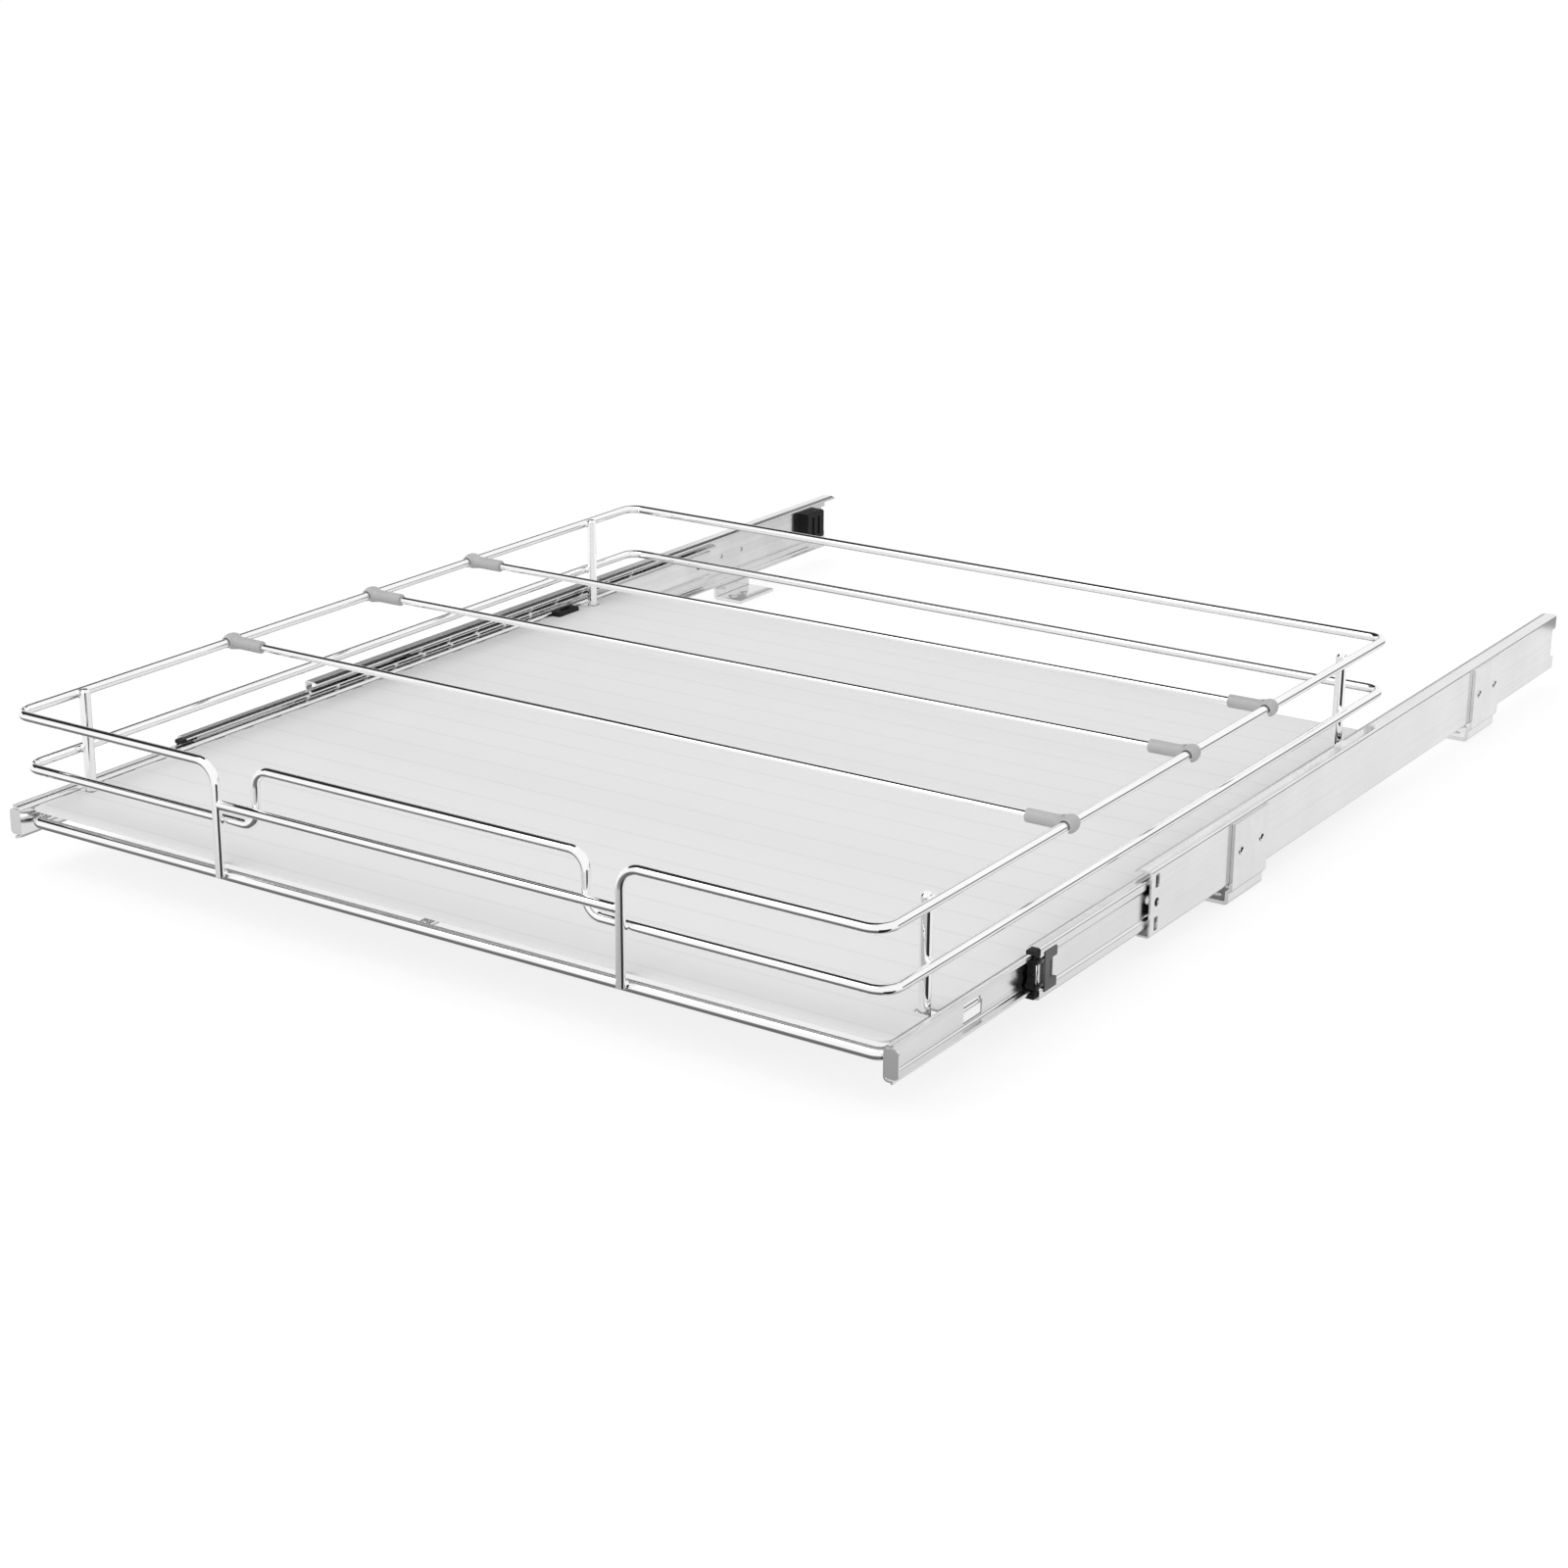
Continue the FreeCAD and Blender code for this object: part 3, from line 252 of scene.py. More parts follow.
def makeSheet(table):
    material, f = newFinish("frostedSheet")
    where = f.add("ShaderNodeTexCoord", output="Object")
    along = f.add("ShaderNodeSeparateXYZ", {0: where}, output="Y")
    # painted shade: a darker line over each floor wire under the sheet, repeated at the wire pitch
    phase = f.math("FRACT", (along - (table["first"] - table["pitch"] / 2) * mm) / (table["pitch"] * mm))
    off = f.math("ABSOLUTE", phase - 0.5)
    line = f.ramp(off * (table["pitch"] / table["wireShadeWidth"]), table["wireShadeStops"])
    cloud = f.spots((1, 1, 1), table["cloud"], 4)
    grain = f.spots((1, 1, 1), table["grain"], 3)
    # the painted shade lines darken the sheet colour towards the line grey
    tone = f.mixColour(line * table["wireShadeShare"], grey(table["colour"]), grey(table["line"]))
    cloudy = grey(table["colour"] * table["cloudTone"])
    f.principled({
        "Base Color": f.mixColour(cloud * table["cloudShare"], tone, cloudy),
        "Roughness": cloud * table["rougher"] + table["rough"],
        "Normal": f.bump(grain, table["grainStrength"], table["depth"]),
        "Alpha": table["alpha"],
    })
    return material


steelTable = {"bright": 0.86, "dull": 0.70, "rough": 0.20, "rougher": 0.2, "metallic": 0.9, "patch": 90}


def makeCageSteel(table):
    material, f = newFinish("cageSteel")
    patch = f.spots((1, 1, 1), table["patch"], 4)
    f.principled({
        "Metallic": table["metallic"],
        "Base Color": f.mixColour(patch, grey(table["dull"]), grey(table["bright"])),
        "Roughness": patch * table["rougher"] + table["rough"],
    })
    return material


railGrain = (zincTable["streak"], zincTable["along"], zincTable["streak"])
finishes = {
    "chrome": makeChrome(chromeTable),
    "rail": makeZinc(zincTable, "zincRail", railGrain),
    "plate": makeZinc(zincTable, "zincPlate", [zincTable["plateGrain"]] * 3),
    "black": makePlastic("blackPlastic", plasticTable["black"], wearTable),
    "dark": makePlastic("darkGreyPlastic", plasticTable["dark"], wearTable),
    "grey": makePlastic("greyPlastic", plasticTable["grey"], wearTable),
    "sheet": makeSheet(sheetTable),
    "cage": makeCageSteel(steelTable),
}
print("finishes made")


# studio
studioTable = {
    "floorReach": 14.0, "floorLevel": -0.0003, "floorBounce": 0.86, "floorMatt": 0.20, "floorGlow": 0.82,
    "worldStrength": 0.96,
    "keySize": 1.6, "keyPower": 16, "keyPlace": (-0.7, -1.6, 2.2),
    "cardPlace": (0.30, 1.60, 0.40, 1.25),  # x from, x to, y from, y to
    "cardLevel": 0.001, "cardTone": 0.35,
}
mirrorTable = {  # what only mirror-like metal sees: white all round, darker below, and six dark cards
    "groundFrom": 0.22, "groundTo": 0.78, "groundTone": 0.40,
    "cards": [  # azimuths of the middle and half width in degrees, heights as sines
        {"centre": 157.5, "half": 47.5, "heights": (0.44, 0.97), "tone": 0.03, "soft": 0.03},
        {"centre": 136, "half": 9, "heights": (0.22, 0.33), "tone": 0.20, "soft": 0.03},
        {"centre": 124, "half": 15, "heights": (-0.50, 0.05), "tone": 0.25, "soft": 0.05},
        {"centre": -22, "half": 26, "heights": (-0.97, -0.20), "tone": 0.04, "soft": 0.03},
        {"centre": 56, "half": 18, "heights": (-0.22, 0.07), "tone": 0.22, "soft": 0.03},
        {"centre": 235, "half": 75, "heights": (-1.10, -0.44), "tone": 0.36, "soft": 0.16},
    ],
}


def makeMirrorTone(f, way, table):
    axis = {name: f.add("ShaderNodeSeparateXYZ", {0: way}, output=name) for name in "XYZ"}
    ground = f.step(0 - axis["Z"], table["groundFrom"], table["groundTo"])
    tone = 1 - ground * (1 - table["groundTone"])
    for card in table["cards"]:
        centre, half, soft = math.radians(card["centre"]), math.radians(card["half"]), card["soft"]
        ahead = axis["X"] * math.cos(centre) + axis["Y"] * math.sin(centre)
        aside = axis["Y"] * math.cos(centre) - axis["X"] * math.sin(centre)
        turn = f.math("ARCTAN2", aside, ahead)
        mask = f.band(turn, -half, half, soft) * f.band(axis["Z"], *card["heights"], soft)
        tone = tone * (1 - mask * (1 - card["tone"]))
    return tone


def makeWorld(table):
    world = bpy.data.worlds.new("studio")
    bpy.context.scene.world = world
    world.use_nodes = True
    f = Finish(world.node_tree)
    way = f.add("ShaderNodeTexCoord", output="Generated")
    glossy = f.add("ShaderNodeLightPath", output="Is Glossy Ray")
    camera = f.add("ShaderNodeLightPath", output="Is Camera Ray")
    mirrored = glossy * (makeMirrorTone(f, way, mirrorTable) - table["worldStrength"])
    strength = mirrored + camera * (1 - table["worldStrength"]) + table["worldStrength"]
    shader = f.add("ShaderNodeBackground", {"Color": grey(1), "Strength": strength})
    f.add("ShaderNodeOutputWorld", {"Surface": shader})


def makePlane(name, low, high, near, far, level, finish):
    mesh = bpy.data.meshes.new(name)
    mesh.from_pydata([(low, near, 0), (high, near, 0), (high, far, 0), (low, far, 0)], [], [(0, 1, 2, 3)])
    plane = addObject(name, mesh)
    plane.location.z = level
    material, f = newFinish(finish)
    mesh.materials.append(material)
    return plane, f


def makeCard(table):  # a dark card behind the right rail that only mirror-like metal sees
    card, f = makePlane("reflectorCard", *table["cardPlace"], table["cardLevel"], "cardGrey")
    for path in ("camera", "diffuse", "transmission", "shadow"):
        setattr(card, "visible_" + path, False)
    f.surface(f.add("ShaderNodeEmission", {"Color": grey(table["cardTone"]), "Strength": 1.0}))


def makeFloor(table):  # nearly white to the camera, so that only a faint shadow shows on it
    reach = table["floorReach"]
    floor, f = makePlane("studioFloor", -reach, reach, -reach, reach, table["floorLevel"], "paleFloor")
    floor.visible_glossy = False
    bounce = f.add("ShaderNodeBsdfDiffuse", {"Color": grey(table["floorBounce"])})
    matt = f.add("ShaderNodeBsdfDiffuse", {"Color": grey(table["floorMatt"])})
    glow = f.add("ShaderNodeEmission", {"Color": grey(1), "Strength": table["floorGlow"]})
    seen = f.add("ShaderNodeAddShader", {0: matt, 1: glow})
    camera = f.add("ShaderNodeLightPath", output="Is Camera Ray")
    f.surface(f.add("ShaderNodeMixShader", {0: camera, 1: bounce, 2: seen}))


def makeKey(table):
    data = bpy.data.lights.new("softKey", "AREA")
    data.size = table["keySize"]
    data.energy = table["keyPower"]
    lamp = addObject("softKey", data)
    lamp.location = table["keyPlace"]
    lamp.rotation_euler = (-lamp.location).to_track_quat("-Z", "Y").to_euler()
    lamp.visible_camera = False


makeWorld(studioTable)
makeFloor(studioTable)
makeCard(studioTable)
makeKey(studioTable)
print("studio lit")


# mesh helpers
def finishMesh(name, build, finish, sharp=35):
    mesh = bpy.data.meshes.new(name)
    bmesh.ops.recalc_face_normals(build, faces=build.faces)
    build.to_mesh(mesh)
    build.free()
    piece = addObject(name, mesh)
    mesh.materials.append(finishes[finish])
    smooth(piece, sharp)
    return piece


def smooth(piece, sharp=35):
    piece.data.polygons.foreach_set("use_smooth", [True] * len(piece.data.polygons))
    piece.data.set_sharp_from_angle(angle=math.radians(sharp))


def settle(piece):  # turn the modifiers into plain mesh
    bpy.context.view_layer.update()
    graph = bpy.context.evaluated_depsgraph_get()
    made = bpy.data.meshes.new_from_object(piece.evaluated_get(graph))
    old = piece.data
    piece.modifiers.clear()
    piece.data = made
    made.name = piece.name
    bpy.data.meshes.remove(old)


def evenNormals(piece):  # flat faces shade flat and only the bends between them curve
    even = piece.modifiers.new("normals", "WEIGHTED_NORMAL")
    even.keep_sharp = True
    even.weight = 100
    settle(piece)


def softenEdges(piece, width, limit=50, segments=2):
    bevel = piece.modifiers.new("edges", "BEVEL")
    bevel.width = width * mm
    bevel.segments = segments
    bevel.limit_method = "ANGLE"
    bevel.angle_limit = math.radians(limit)
    bevel.use_clamp_overlap = True
    settle(piece)
    smooth(piece)


def combine(piece, other, operation="DIFFERENCE"):
    step = piece.modifiers.new(operation, "BOOLEAN")
    step.operation = operation
    step.solver = "EXACT"
    step.object = other
    settle(piece)
    smooth(piece)
    bpy.data.objects.remove(other)


def roundCorner(before, corner, after, bend, steps):
    if bend <= 0:
        return [corner]
    back = (before - corner).normalized()
    ahead = (after - corner).normalized()
    half = back.angle(ahead) / 2
    centre = corner + (back + ahead).normalized() * (bend / math.sin(half))
    arm = corner + back * (bend / math.tan(half)) - centre
    out = corner + ahead * (bend / math.tan(half)) - centre
    turn = arm.angle(out)
    axis = arm.cross(out)
    return [centre + Quaternion(axis, turn * i / steps) @ arm for i in range(steps + 1)]


def roundedRoute(stops, closed, steps=14):  # stops are (x, y, z, bend)
    spots = [at(*stop[:3]) for stop in stops]
    route = []
    for i, spot in enumerate(spots):
        if not closed and i in (0, len(spots) - 1):
            route.append(spot)
            continue
        after = spots[(i + 1) % len(spots)]
        route += roundCorner(spots[i - 1], spot, after, stops[i][3] * mm, steps)
    return route


def addTube(build, route, radius, closed=False, dome=0.3, around=28):  # dome rounds the cut ends
    count = len(route)
    full, lip = radius * mm, dome * mm
    heads = []
    for i in range(count):
        ahead = route[(i + 1) % count] - route[i] if closed or i < count - 1 else route[i] - route[i - 1]
        back = route[i] - route[i - 1] if closed or i > 0 else ahead
        heads.append((ahead.normalized() + back.normalized()).normalized())
    side = heads[0].orthogonal().normalized()
    rings = []

    def addRing(centre, across, head, size):
        other = head.cross(across)
        ring = []
        for k in range(around):
            turn = 2 * math.pi * k / around
            arm = across * math.cos(turn) + other * math.sin(turn)
            ring.append(build.verts.new(centre + arm * size))
        rings.append(ring)

    for i, spot in enumerate(route):
        if i:
            side = heads[i - 1].rotation_difference(heads[i]) @ side
            side = (side - heads[i] * side.dot(heads[i])).normalized()
        if not closed and i == 0:
            for part in (0.0, 0.5):
                addRing(spot + heads[0] * (lip * part), side, heads[0], full - lip * (1 - part))
            addRing(spot + heads[0] * lip, side, heads[0], full)
        elif not closed and i == count - 1:
            addRing(spot - heads[i] * lip, side, heads[i], full)
            for part in (0.5, 0.0):
                addRing(spot - heads[i] * (lip * part), side, heads[i], full - lip * (1 - part))
        else:
            addRing(spot, side, heads[i], full)
    if closed:  # the last ring meets the first one turned by some steps
        first, last = rings[0], rings[-1]
        shift = min(range(around), key=lambda s: (last[0].co - first[s].co).length)
        rings.append(first[shift:] + first[:shift])
    for low, high in zip(rings, rings[1:]):
        for k in range(around):
            m = (k + 1) % around
            build.faces.new((low[k], low[m], high[m], high[k]))
    if not closed:
        build.faces.new(list(reversed(rings[0])))
        build.faces.new(rings[-1])


def addLathe(build, outline, place, turn, around=40):  # outline is (radius, height) up the axis
    rings = []
    for radius, height in outline:
        if radius < 1e-6:
            rings.append([build.verts.new(place + turn @ at(0, 0, height))])
            continue
        rings.append([
            build.verts.new(place + turn @ at(radius * math.cos(2 * math.pi * k / around),
                                              radius * math.sin(2 * math.pi * k / around), height))
            for k in range(around)])
    for low, high in zip(rings, rings[1:]):
        for k in range(around):
            m = (k + 1) % around
            corners = [low[k % len(low)], low[m % len(low)], high[m % len(high)], high[k % len(high)]]
            unique = list(dict.fromkeys(corners))
            if len(unique) > 2:
                build.faces.new(unique)


def profileLoop(corners, steps=6):  # corners are (u, v) or (u, v, bend)
    flat = [Vector((c[0], c[1], 0)) for c in corners]
    loop = []
    for i, corner in enumerate(corners):
        bend = corner[2] if len(corner) > 2 else 0
        loop += roundCorner(flat[i - 1], flat[i], flat[(i + 1) % len(flat)], bend, steps)
    return [(p.x, p.y) for p in loop]


def fullLoop(outer, inner):  # the lower half mirrors the upper half
    def turned(points):
        return [(p[0], -p[1], *p[2:]) for p in reversed(points)]
    return outer + turned(outer) + turned(inner) + inner


def extrudeAlong(build, loop, place, low, high):  # place turns (u, v, length along) into a point
    first = [build.verts.new(place(u, v, low)) for u, v in loop]
    last = [build.verts.new(place(u, v, high)) for u, v in loop]
    for i in range(len(loop)):
        j = (i + 1) % len(loop)
        build.faces.new((first[i], first[j], last[j], last[i]))
    build.faces.new(list(reversed(first)))
    build.faces.new(last)


def railPlace(side, front=0.0):
    def place(u, v, along):
        return at(side * (places["webFace"] + u), places["railFront"] + front + along,
                  places["railCentre"] + v)
    return place


def blockPiece(name, low, high, finish="black", edge=0.0):
    build = bmesh.new()
    bmesh.ops.create_cube(build, size=1)
    lowPoint, highPoint = at(*low), at(*high)
    for vert in build.verts:
        vert.co = Vector([a + (b - a) * (c + 0.5) for a, b, c in zip(lowPoint, highPoint, vert.co)])
    piece = finishMesh(name, build, finish)
    if edge:
        softenEdges(piece, edge)
    return piece


def pinPiece(name, centre, axis, radius, length, finish="black", around=36):
    build = bmesh.new()
    turn = Vector((0, 0, 1)).rotation_difference(Vector(axis))
    addLathe(build, [(0, -length / 2), (radius, -length / 2), (radius, length / 2), (0, length / 2)],
             at(*centre), turn, around)
    return finishMesh(name, build, finish)


def keep(piece, body, node=None):
    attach(piece, body)
    if node:
        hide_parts(node)


def keepWire(name, build, node=None):
    keep(finishMesh(name, build, "chrome"), "basket", node)


# basket wires
wireTable = {
    "rim": 2.5, "frame": 3.0, "floor": 1.5, "bar": 2.5, "spine": 2.5, "post": 3.0,
    "corner": 9.5, "frameCorner": 6.5, "hookHalf": 123.5, "hookBend": 11.0, "hookFoot": 29.2,
    "raisedHalf": 101.0, "raisedBend": 9.0, "midAhead": 4.6, "frameAhead": 5.1,
    "barLevel": 67.5, "postTop": 91.3, "postFoot": 31.3, "posts": {"front": -455.25, "rear": -17.25},
    "floorFirst": -484.85, "floorPitch": 23.05, "floorCount": 23, "floorHalf": 262.4,
    "spineLevel": 29.2, "spineFront": -491.05, "spineBack": 26.05, "barHalf": 121.4,
}


def loopPiece(name, node, stops, radius, closed):
    build = bmesh.new()
    addTube(build, roundedRoute(stops, closed), radius, closed)
    keepWire(name, build, node)


def bothHalves(half):
    return half + [(-x, *rest) for x, *rest in reversed(half)]


def makeLoops(t):
    p = places
    front, back, rim, level = p["basketFront"], p["basketBack"], p["rimHalf"], p["rimLevel"]
    corner = t["corner"]
    frameFront = front + t["frameAhead"]
    loopPiece("bottomFrameWire", "bottom_frame", [
        (0, p["frameBack"], p["railCentre"], 0),
        (p["frameHalf"], p["frameBack"], p["railCentre"], t["frameCorner"]),
        (p["frameHalf"], frameFront, p["railCentre"], t["frameCorner"]),
        (-p["frameHalf"], frameFront, p["railCentre"], t["frameCorner"]),
        (-p["frameHalf"], p["frameBack"], p["railCentre"], t["frameCorner"]),
    ], t["frame"], True)
    loopPiece("topRimWire", "top_rim", bothHalves([
        (t["hookHalf"], front, t["hookFoot"], 0),
        (t["hookHalf"], front, level, t["hookBend"]),
        (rim, front, level, corner),
        (rim, back, level, corner),
    ]), t["rim"], False)
    midFront = front + t["midAhead"]
    loopPiece("midRimWire", "mid_rim", [(0, back, p["midLevel"], 0)] + bothHalves([
        (rim, back, p["midLevel"], corner),
        (rim, midFront, p["midLevel"], corner),
        (t["raisedHalf"], midFront, p["midLevel"], t["raisedBend"]),
        (t["raisedHalf"], midFront, level, t["raisedBend"]),
    ]), t["rim"], True)


def makeStraights(t):
    def straight(name, node, ends, radius, dome=0.3):
        build = bmesh.new()
        for first, last in ends:
            addTube(build, [at(*first), at(*last)], radius, dome=dome)
        keepWire(name, build, node)

    straight("frontBarWire", "front_bar", [
        ((-t["barHalf"], places["basketFront"], t["barLevel"]),
         (t["barHalf"], places["basketFront"], t["barLevel"]))], t["bar"])
    straight("floorSpineWire", "floor_spine", [
        ((0, t["spineFront"], t["spineLevel"]), (0, t["spineBack"], t["spineLevel"]))], t["spine"])
    lines = [t["floorFirst"] + i * t["floorPitch"] for i in range(t["floorCount"])]
    straight("floorWireRow", "floor_wires", [
        ((-t["floorHalf"], line, places["floorLevel"]), (t["floorHalf"], line, places["floorLevel"]))
        for line in lines], t["floor"])
    for word, side in sides.items():
        for end, line in t["posts"].items():
            straight(f"post{end.title()}{word.title()}", f"post_{end}_{word}", [
                ((side * places["postLine"], line, t["postFoot"]),
                 (side * places["postLine"], line, t["postTop"]))], t["post"], 1.1)


beadTable = {
    "size": 1.5, "long": 2.6, "lump": 0.16, "lumpScale": 1.7, "lumpShift": 3.1, "seed": 11,
    "rimInset": 0.2, "footRise": 0.4, "footSize": 1.25, "hookBack": 2.6, "hookRise": 1.5, "hookSize": 1.1,
    "crossBack": 2.3, "barBack": 0.4,
}


def makeBeads(t, w):  # the squeezed metal at each resistance weld
    joints = []  # each is a place, the way across the flat bead and a size
    front, mid = places["basketFront"], places["midLevel"]
    for side in (-1, 1):
        for line in w["posts"].values():
            for level in (places["rimLevel"], mid):
                x = side * (places["rimHalf"] - w["rim"] + t["rimInset"])
                joints.append(((x, line, level), (1, 0, 0), 1.0))
            foot = (side * places["postLine"], line, w["postFoot"] + t["footRise"])
            joints.append((foot, (0, 0, 1), t["footSize"]))
        hook = side * w["hookHalf"]
        hookFoot = (hook, front + t["hookBack"], places["railCentre"] + t["hookRise"])
        joints.append((hookFoot, (0, 1, 0), t["hookSize"]))
        joints.append(((hook, front + t["crossBack"], mid), (0, 1, 0), 1.0))
        joints.append(((side * w["barHalf"], front + t["barBack"], w["barLevel"]), (1, 0, 0), 1.0))
    build = bmesh.new()
    for index, (spot, axis, size) in enumerate(joints):
        turn = Vector((0, 0, 1)).rotation_difference(Vector(axis))
        made = bmesh.ops.create_icosphere(build, subdivisions=3, radius=1)
        start = Vector((index * t["lumpShift"], t["seed"], 0))
        for vert in made["verts"]:
            lump = 1 + t["lump"] * noise.noise(vert.co * t["lumpScale"] + start)
            x, y, z = vert.co
            local = Vector((x * t["long"], y * t["long"], z * t["size"])) * lump * size
            vert.co = at(*spot) + turn @ (local * mm)
    keepWire("weldBeads", build)


makeLoops(wireTable)
makeStraights(wireTable)
makeBeads(beadTable, wireTable)
print("basket wires made")


# liner
linerTable = {
    "half": 262.5, "front": -493.75, "back": 24.25, "sheet": 1.2, "corner": 5.0, "edge": 0.25,
    "notchRound": 1.3, "notchLip": 0.8, "postEdge": 253.9, "postHalf": 3.7,
    "clipEdge": 256.6, "clipLow": -53.15, "clipHigh": -31.35,
}


def makeLiner(t):
    notches = [(line - t["postHalf"], line + t["postHalf"], t["postEdge"])
               for line in wireTable["posts"].values()]
    notches.insert(1, (t["clipLow"], t["clipHigh"], t["clipEdge"]))
    edge = [(t["half"], t["front"], t["corner"])]
    for low, high, depth in notches:
        edge += [(t["half"], low, t["notchLip"]), (depth, low, t["notchRound"]),
                 (depth, high, t["notchRound"]), (t["half"], high, t["notchLip"])]
    edge.append((t["half"], t["back"], t["corner"]))
    outline = profileLoop(edge + [(-x, *rest) for x, *rest in reversed(edge)], 8)
    build = bmesh.new()

    def place(u, v, height):
        return at(u, v, places["linerLevel"] + height)
    extrudeAlong(build, outline, place, 0, t["sheet"])
    piece = finishMesh("linerSheet", build, "sheet")
    softenEdges(piece, t["edge"], 60)
    evenNormals(piece)
    keep(piece, "basket", "liner")


clipTable = {
    "out": 263.9, "inner": 256.9, "low": -52.75, "high": -31.75, "height": 3.8, "edge": 1.1,
    "dishInset": (2, 6), "dishDeep": 0.9,
}


def makeLinerClips(t):
    for word, side in sides.items():
        xs = sorted((side * t["inner"], side * t["out"]))
        base = places["linerLevel"]
        top = base + t["height"]
        piece = blockPiece(f"linerClip{word.title()}", (xs[0], t["low"], base),
                           (xs[1], t["high"], top), "black", t["edge"])
        across, along = t["dishInset"]
        dish = blockPiece("dish", (xs[0] + across, t["low"] + along, top - t["dishDeep"]),
                          (xs[1] - across, t["high"] - along, top + 1), "black")
        combine(piece, dish)
        evenNormals(piece)
        keep(piece, "basket", f"liner_clip_{word}")


makeLiner(linerTable)
makeLinerClips(clipTable)
print("liner made")


# dividers
dividerTable = {
    "rows": {"front": (161.0, 0.3), "middle": (282.0, 1.2), "rear": (373.0, 1.0)},
    "rod": 2.0, "rodHole": 2.0, "holeDepth": 0.4, "socket": 15.0, "play": 0.05,
    "reach": 22.5, "sleeve": 3.5, "neck": ((4.1, 3.0), (3.9, 4.3), (3.62, 5.4)), "neckEnd": 6.6,
    "lip": ((0, 0.7), (0.2, 0.2), (0.6, 0)), "bore": 2.75, "flare": ((-0.1, 1.2), (0, 0.7), (0.2, 0)),
    "head": 4.65, "headHalf": 4.9, "roundness": 7.0, "headSteps": 16, "mouth": 4.2, "mouthReach": 8,
    "edge": 0.18,
}


def headOutline(t):  # around the rim wire: ball outside, bore with a small flare at each end
    half, count = t["headHalf"], t["headSteps"]
    outer = []
    for i in range(count + 1):
        height = half * (2 * i / count - 1)
        outer.append((t["head"] * math.sqrt(1 - (height / t["roundness"]) ** 2), height))
    flare = [(t["bore"] + wider, half - deep) for wider, deep in t["flare"]]
    bore = [(r, h) for r, h in reversed(flare)] + [(r, -h) for r, h in flare]
    return outer + bore + [outer[0]]


def makeClip(name, body, node, t, centre, skew, side):
    around = Matrix.Rotation(math.radians(skew), 3, "Z") @ Euler((math.radians(-90), 0, 0)).to_matrix()
    inward = Matrix.Rotation(math.radians(skew + (180 if side > 0 else 0)), 3, "Z")
    along = inward @ Euler((0, math.radians(90), 0)).to_matrix()
    build = bmesh.new()
    addLathe(build, headOutline(t), centre, around, 48)
    bmesh.ops.remove_doubles(build, verts=build.verts, dist=1e-7)
    piece = finishMesh(name, build, "grey")
    build = bmesh.new()
    sleeve, reach, hole = t["sleeve"], t["reach"], t["rodHole"]
    floor = reach - t["holeDepth"]
    outline = [(0, t["neck"][0][1]), *t["neck"], (sleeve, t["neckEnd"])]
    outline += [(sleeve - inset, reach - back) for inset, back in t["lip"]]
    outline += [(hole + t["play"], reach), (hole, floor), (0, floor)]
    addLathe(build, outline, centre, along, 40)
    combine(piece, finishMesh("sleeve", build, "grey"), "UNION")
    past = t["mouthReach"]
    mouth = blockPiece("mouth", (-t["mouth"] / 2, -past, -past), (t["mouth"] / 2, past, 0))
    mouth.matrix_world = Matrix.Translation(centre) @ Matrix.Rotation(math.radians(skew), 4, "Z")
    combine(piece, mouth)
    softenEdges(piece, t["edge"], 55)
    evenNormals(piece)
    keep(piece, body, node)


def makeDividers(t):
    for name, (ahead, skew) in t["rows"].items():
        line = places["basketFront"] + ahead
        turn = math.radians(skew)
        reach = places["rimHalf"] / math.cos(turn)
        half = reach - t["reach"] + t["socket"] - t["play"]
        build = bmesh.new()
        way = Vector((math.cos(turn), math.sin(turn), 0))
        middle = at(0, line, places["rimLevel"])
        addTube(build, [middle - way * half * mm, middle + way * half * mm], t["rod"])
        rod = finishMesh(f"dividerRod{name.title()}", build, "chrome")
        keep(rod, f"divider_{name}", f"divider_rod_{name}")
        for word, side in sides.items():
            makeClip(f"dividerClip{name.title()}{word.title()}", f"divider_{name}",
                     f"divider_clip_{name}_{word}", t, middle + way * (side * reach * mm), skew, side)


makeDividers(dividerTable)
print("dividers made")


# slide members
memberTable = {  # upper half outlines, outside then inside, as (out from the web line, up, bend)
    "outer": {
        "length": 550.0, "front": 0.0,
        "outline": ([(0.4, 15.7, 0.2), (0.4, 16.6, 0.6), (3.4, 17.5, 1.6), (10, 17.5, 1.4)],
                    [(9, 16.5, 0.5), (3.4, 16.5, 1.6), (1.4, 15.9, 0.3), (1.4, 15.7, 0.1)]),
    },
    "middle": {
        "length": 508.5, "front": -106.25,
        "outline": ([(0.8, 11.45, 0.2), (0.8, 12.3, 0.5), (3.2, 13.1, 1.4), (8, 13.1, 1.3),
                     (8, 8.2, 0.8), (7, 7.2, 0.8)],
                    [(6, 7.614, 0.6), (7, 8.614, 0.6), (7, 12.1, 0.5), (3.2, 12.1, 1.4),
                     (1.8, 11.65, 0.3), (1.8, 11.45, 0.1)]),
    },
    "inner": {
        "length": 517.0, "front": -229.5,
        "outline": ([(5, 9.35, 0.2), (4, 9.35, 0.2), (4, 8.7, 0.25), (0, 8.7, 2.4)],
                    [(1, 7.7, 1.4), (5, 7.7, 0.4)]),
    },
}
railEdge = {"width": 0.12, "limit": 55}
slotTable = {  # cut into the outer member's web
    "web": 9.5, "through": (7, 12), "drill": 6, "setback": 6.5, "hole": 2.3,
    "wide": 3.8, "tall": 7.0, "rise": 11.3, "slotRound": 0.6,
    "notch": 5.0, "notchHalf": 9.0, "notchRound": 1.2,
}
